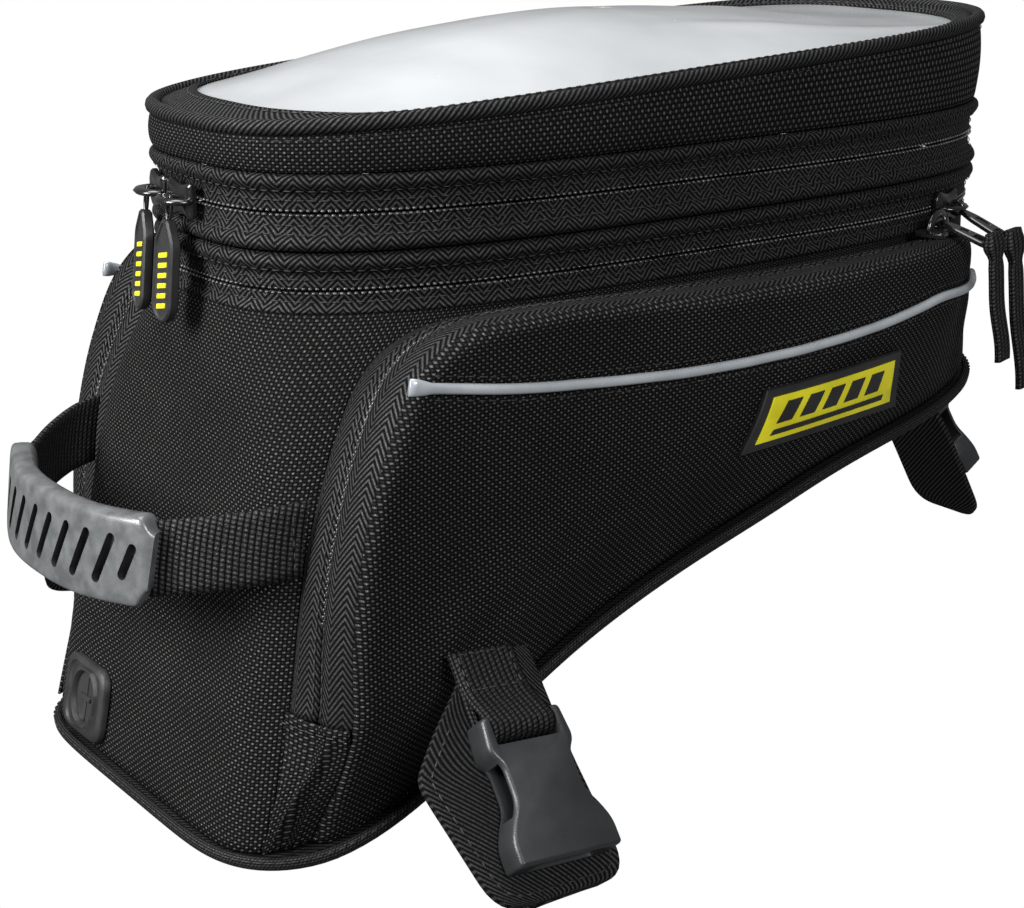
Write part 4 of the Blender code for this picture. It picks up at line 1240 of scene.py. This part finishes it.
def build_handle():
    line = handle_line()
    last = len(line) - 1
    rows = []
    for step in range(9):
        share = step / 8 - 0.5
        row = []
        for index in range(121):
            point = Vector(spline(line, last * index / 120))
            curl = 0.0006 * (2 * share) ** 2
            row.append(point + Vector((0.004 * share + curl, 0, WEBBING * share)))
        rows.append(row)
    strap = grid("handle_strap", rows, WEB, thick=0.0019)
    place_on(strap, "handle", ("handle_webbing",))
    for side, name, at in ((1, "left", 0.35), (-1, "right", last - 0.35)):
        end = Vector(spline(line, at)) + Vector((-0.0004, side * 0.0004, 0))
        points = [end + Vector((0, 0, WEBBING * (index / 30 - 0.5) * 0.86)) for index in range(31)]
        sew("handle_stitches_" + name, points, [Vector((-0.5, side * 0.8, 0))] * 31, "handle")
    build_grip(line)


def grip_place(line, offset):
    """Centre of the grip and the way its outer face looks, at an offset from the middle of the strap."""
    at = (len(line) - 1) / 2 + offset
    ahead = Vector(spline(line, at + 0.1)) - Vector(spline(line, at - 0.1))
    normal = Vector((ahead.y, -ahead.x, 0.0)).normalized()
    return Vector(spline(line, at)), -normal if normal.x > 0 else normal


def build_grip(line):
    """Moulded grip plate: rounded flanges top and bottom, and a row of slanted slots whose walls and floors get
    a darker finish as painted shade.
    """
    rows = []
    steps = 56
    half_span = 2.4
    for index in range(steps + 1):
        share = index / steps
        centre, normal = grip_place(line, half_span * (2 * share - 1))
        end = 1 - abs(2 * share - 1)
        height = 0.0155 * (0.62 + 0.38 * ease(end / 0.16))
        depth = 0.0052 * (0.8 + 0.2 * ease(end / 0.1))
        ring = []
        for angle in turns(32):
            c, s = math.cos(angle), math.sin(angle)
            out = math.copysign(abs(c) ** 0.42, c)
            up = math.copysign(abs(s) ** 0.55, s)
            lip = 0.0012 * abs(up) ** 4
            ring.append(centre + normal * (out * depth + 0.0004 + lip) + Vector((0.002 * up, 0, height * up)))
        rows.append(ring)
    grip = grid("handle_grip_moulding", capped(rows), GRIP, wrap=True)
    clean(grip)
    tools = []
    count = 10
    for index in range(count):
        share = (index + 1) / (count + 1)
        centre, normal = grip_place(line, half_span * 0.94 * (2 * share - 1))
        side = Vector((0, 0, 1)).cross(normal)
        place = Matrix((side, Vector((0, 0, 1)), normal)).transposed().to_4x4()
        tilt = Matrix.Rotation(math.radians(-24), 4, 'Z')
        half = 0.0098 if index not in (0, count - 1) else 0.007
        outline = arc((0, half - 0.0018), 0.0018, 0, 180, 9) + arc((0, -half + 0.0018), 0.0018, 180, 360, 9)
        tool = plate("slot_%d" % index, outline, [(0.0, 0.0026), (0.0, 0.01)], GRIP_SLOT_SHADE)
        tools.append(moved(tool, Matrix.Translation(centre) @ place @ tilt))
    # The slot faces take the painted-shade finish.
    grip.data.materials.append(GRIP_SLOT_SHADE)
    cut(grip, tools)
    grip.data.set_sharp_from_angle(angle=math.radians(40))
    place_on(grip, "handle", ("handle_grip",))


# Cable port

def build_cable_port():
    height = -0.0665
    rear = body_sizes(height)[0]
    down = Vector((-REAR_RAKE, 0.0, -1.0))
    place = local_frame((rear - 0.0006, 0.041, height), (0, 1, 0), down)

    def oval(half_x, half_y, power, lift):
        ring = []
        for angle in turns(64):
            c, s = math.cos(angle), math.sin(angle)
            reach = (abs(c) ** power + abs(s) ** power) ** (-1 / power)
            ring.append(Vector((half_x * reach * c, half_y * reach * s, lift)))
        return ring

    profile = [(0.0166, 0.0149, 5, -0.0004), (0.0166, 0.0149, 5, 0.0012), (0.016, 0.0143, 5, 0.0021),
               (0.0132, 0.0128, 5, 0.0026), (0.0126, 0.0124, 5, 0.0019), (0.0104, 0.0118, 3, 0.0019),
               (0.0098, 0.0114, 2.6, 0.0028), (0.0088, 0.0106, 2.3, 0.0028), (0.0083, 0.0101, 2.1, 0.0018),
               (0.008, 0.0099, 2.0, 0.0002)]
    rows = [oval(*level) for level in profile]
    rim = moved(grid("cable_port_moulding", rows, RUBBER, wrap=True), place)
    rim.data.set_sharp_from_angle(angle=math.radians(50))
    place_on(rim, "root", ("cable_port_frame",))
    lobes = []
    for side, name in ((1, "a"), (-1, "b")):
        shape = []
        for row in range(9):
            reach = row / 8
            line = []
            for step in range(25):
                y = -0.0097 + 0.0194 * step / 24
                wide = 0.0079 * math.sqrt(max(1 - (y / 0.0099) ** 2, 0.0))
                x = 0.00035 + (wide - 0.00035) * reach if wide > 0.00035 else 0.00035
                line.append(Vector((side * x, y, 0.001 - 0.0006 * (1 - reach))))
            shape.append(line)
        lobe = moved(grid("port_lobe_" + name, shape, RUBBER, flip=side > 0, thick=0.0006), place)
        lobes.append(lobe)
    bridge = plate("port_lobe_bar", rounded(oblong(0.0045, -0.001, 0.001), 0.0006, 3),
                   [(0.0, 0.0004), (0.0, 0.0014), (0.0003, 0.0018)], RUBBER)
    leaves = join_pieces(lobes + [moved(bridge, place)], "cable_port_lips")
    place_on(leaves, "root", ("cable_port_membrane",))


# Fixing flaps and buckles

def side_outline(side):
    """Pad of a side flap, wider towards the rear."""
    outline = [(0.015, 0.0008, 0.001), (0.016, 0.009, 0.006), (0.0345, 0.0265, 0.01),
               (0.0458, 0.04, 0.006), (0.044, 0.048, 0.01), (0.0315, 0.0875, 0.012),
               (-0.0215, 0.0855, 0.012), (-0.0155, 0.04, 0.01), (-0.015, 0.02, 0.01),
               (-0.015, 0.0008, 0.001)]
    if side > 0:
        outline = [(-x, y, r) for x, y, r in reversed(outline)]
    return rounded(outline, 0.005, 6)


def front_outline():
    right = [(0.015, 0.0008, 0.001), (0.016, 0.02, 0.01), (0.0208, 0.04, 0.01),
             (0.0204, 0.104, 0.012)]
    return rounded(mirrored(right), 0.005, 6)


def edge_marks(outline, y):
    """Left and right edge of a flat outline at a height."""
    marks = []
    for first, second in zip(outline, outline[1:] + outline[:1]):
        if (first[1] - y) * (second[1] - y) <= 0 and first[1] != second[1]:
            share = (y - first[1]) / (second[1] - first[1])
            marks.append(first[0] + (second[0] - first[0]) * share)
    return min(marks), max(marks)


def build_flap(prefix, origin, across, down, outline, length, aside):
    place = local_frame(origin, across, down)
    count, columns = 60, 24
    top = min(y for _, y in outline) + 0.00005
    bottom = max(y for _, y in outline) - 0.00005

    def bend(x, y):
        return 0.001 * math.sin(y / length * math.pi * 1.3) - 0.0006 + 0.0008 * ease((abs(x) - 0.012) / 0.02)

    rows = []
    for row in range(count + 1):
        y = top + (bottom - top) * (1 - (1 - row / count) ** 1.3)
        low, high = edge_marks(outline, y)
        edge = [low + (high - low) * column / columns for column in range(columns + 1)]
        rows.append([Vector((x, y, bend(x, y))) for x in edge])
    pad = grid(prefix + "_flap_pad", rows, TWILL, thick=0.0026)
    bevelled(pad, 0.0008, 30)
    place_on(moved(pad, place), prefix + "_flap", (prefix + "_flap",))
    points = []
    for before, spot, after in zip(outline[-1:] + outline, outline, outline[1:] + outline[:1]):
        run = Vector(after) - Vector(before)
        x, y = Vector(spot) + Vector((-run.y, run.x)).normalized() * 0.0036
        if y > 0.024:
            points.append(Vector((x, y, bend(x, y) + 0.0003)))
    sew(prefix + "_flap_edge_stitches", points, [Vector((0, 0, 1))] * len(points), prefix + "_flap", place)
    build_loop(prefix, place @ Matrix.Translation((aside, 0, 0)))
    bar = place @ Vector((aside, BAR_DOWN, BAR_OUT))
    build_buckle(prefix, local_frame(bar, across, down))


def build_loop(prefix, place):
    """Webbing sewn to the flap and turned round the buckle's bar."""
    radius = 0.0048
    path = [(0.001, 0.0012), (0.008, 0.0012), (0.016, 0.0012), (0.023, 0.001)]
    path += arc((BAR_DOWN, BAR_OUT), radius, -78, 100, 13)
    path += [(0.0237, 0.0082), (0.018, 0.005), (0.012, 0.0034), (0.005, 0.0032), (0.0008, 0.003)]
    rows = []
    for index in range(4 * (len(path) - 1) + 1):
        y, z = spline(path, index / 4)
        rows.append([Vector((WEBBING / 2 * (2 * column / 10 - 1), y, z)) for column in range(11)])
    loop = grid(prefix + "_flap_strap", rows, WEB_TURNED, thick=0.0014, flip=True)
    place_on(moved(loop, place), prefix + "_flap", (prefix + "_flap_webbing",))
    box = [(-0.0105, 0.002), (0.0105, 0.002), (0.0105, 0.015), (-0.0105, 0.015)]
    points = []
    for start, end in zip(box, box[1:] + box[:1]):
        for step in range(8):
            x, y = Vector(start).lerp(Vector(end), step / 8)
            points.append(Vector((x, y, 0.0036 + 0.0005 * ease((y - 0.011) / 0.004))))
    points.append(points[0].copy())
    sew(prefix + "_strap_stitches", points, [Vector((0, 0, 1))] * len(points), prefix + "_flap", place)


def build_buckle(prefix, place):
    """Female half of a side-release buckle: crowned body, waisted sides, webbing bar and open mouth."""
    right = [(0.0158, -0.0032, 0.002), (0.0172, 0.009, 0.004), (0.0138, 0.0135, 0.004),
             (0.0138, 0.0265, 0.004), (0.0178, 0.0325, 0.005), (0.0204, 0.0385, 0.003),
             (0.0204, 0.047, 0.0015)]
    outline = rounded(mirrored(right), 0.003, 5)
    half = 0.0056
    body = plate(prefix + "_buckle_moulding", outline,
                 [(0.0009, -half), (0.0003, -half + 0.0003), (0.0, -half + 0.001), (0.0, half - 0.0014),
                  (0.0003, half - 0.0005), (0.0009, half), (0.0012, half + 0.0001)], BUCKLE)
    through = (-0.01, 0.01)
    hollow = (-0.0037, 0.0037)
    holes = [("strap_slot", rounded(oblong(0.0134, 0.0022, 0.007), 0.0008, 3), through),
             ("bar_front", oblong(0.0134, -0.03, 0.005), (0.0016, 0.01)),
             ("bar_back", oblong(0.0134, -0.03, 0.005), (-0.01, -0.0016)),
             ("socket", oblong(0.013, 0.0105, 0.052), hollow),
             ("windows", rounded(oblong(0.03, 0.0125, 0.0305), 0.002, 3), hollow)]
    cut(body, [plate(name, shape, [(0.0, low), (0.0, high)], BUCKLE) for name, shape, (low, high) in holes])
    body.data.set_sharp_from_angle(angle=math.radians(32))
    bevelled(body, 0.0004, 50)
    body.data.set_sharp_from_angle(angle=math.radians(32))
    place_on(moved(body, place), prefix + "_buckle", (prefix + "_buckle",))


def build_flaps():
    for side, prefix in ((1, "left"), (-1, "right")):
        down = Vector((-0.1, side * math.sin(FLAP_LEAN), -math.cos(FLAP_LEAN)))
        across = Vector((math.cos(0.1), 0.0, -math.sin(0.1))) * side
        down -= across * down.dot(across)
        build_flap(prefix, (-0.136, side * 0.116, -0.012), across, down, side_outline(side), 0.0875,
                   -side * BAR_ASIDE)
    down = Vector((math.sin(FRONT_FLAP_LEAN), 0.0, -math.cos(FRONT_FLAP_LEAN)))
    build_flap("front", (0.1715, 0.0, 0.0215), (0, -1, 0), down, front_outline(), 0.104, 0.0)


# Stage

def softbox(name, place, target, size, power):
    light = bpy.data.lights.new(name, 'AREA')
    light.shape = 'RECTANGLE'
    light.size, light.size_y = size
    light.energy = power
    lamp = bpy.data.objects.new(name, light)
    bpy.context.scene.collection.objects.link(lamp)
    lamp.location = place
    lamp.rotation_euler = (Vector(target) - Vector(place)).to_track_quat('-Z', 'Y').to_euler()


def build_stage():
    scene = bpy.context.scene
    world = bpy.data.worlds.new("studio")
    world.use_nodes = True
    tree = world.node_tree
    background = tree.nodes["Background"]
    background.inputs["Color"].default_value = (1, 1, 1, 1)
    seen = tree.nodes.new("ShaderNodeLightPath").outputs["Is Camera Ray"]
    tree.links.new(span(tree, seen, 0.0, 1.0, 0.16, 1.0), background.inputs["Strength"])
    scene.world = world
    scene.view_settings.view_transform = 'Standard'
    softbox("left_box", (-1.5, 0.15, 0.75), (-0.1, 0, 0.05), (0.6, 0.9), 46)
    softbox("top_box", (-0.2, 0.3, 1.6), (0, 0, 0.05), (1.4, 1.0), 27)
    softbox("front_box", (-0.5, -1.7, 0.9), (0, 0, 0.02), (0.7, 0.5), 26)

    camera = bpy.data.cameras.new("camera")
    camera.sensor_width = 36.0
    camera.lens = 70.22
    holder = bpy.data.objects.new("camera", camera)
    scene.collection.objects.link(holder)
    holder.location = (-0.5011, -0.624, 0.2528)
    azimuth, elevation = math.radians(-36.35), math.radians(17.41)
    holder.rotation_euler = (math.pi / 2 - elevation, 0.0, azimuth)
    scene.camera = holder


def finish_cad_nodes():
    """Gives the CAD nodes that stay a finish of their own."""
    for node, finish in (("base_panel", FLOOR_CLOTH), ("base_board", BOARD), ("map_pocket_back", LINING)):
        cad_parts[node].data.materials.clear()
        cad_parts[node].data.materials.append(finish)


build_body()
build_floor_edge()
build_rings()
build_lid()
for side, prefix in ((1, "left"), (-1, "right")):
    build_panel(side, prefix)
    build_strip(side, prefix)
    build_patch(side, prefix)
    build_reflective(side, prefix)
    build_badge(side, prefix)
build_sliders()
build_handle()
build_cable_port()
build_flaps()
finish_cad_nodes()
build_stage()

both = {"cad": cad_bounds, "visual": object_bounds()}
{name: [list(corner) for corner in box] for name, box in both.items()}
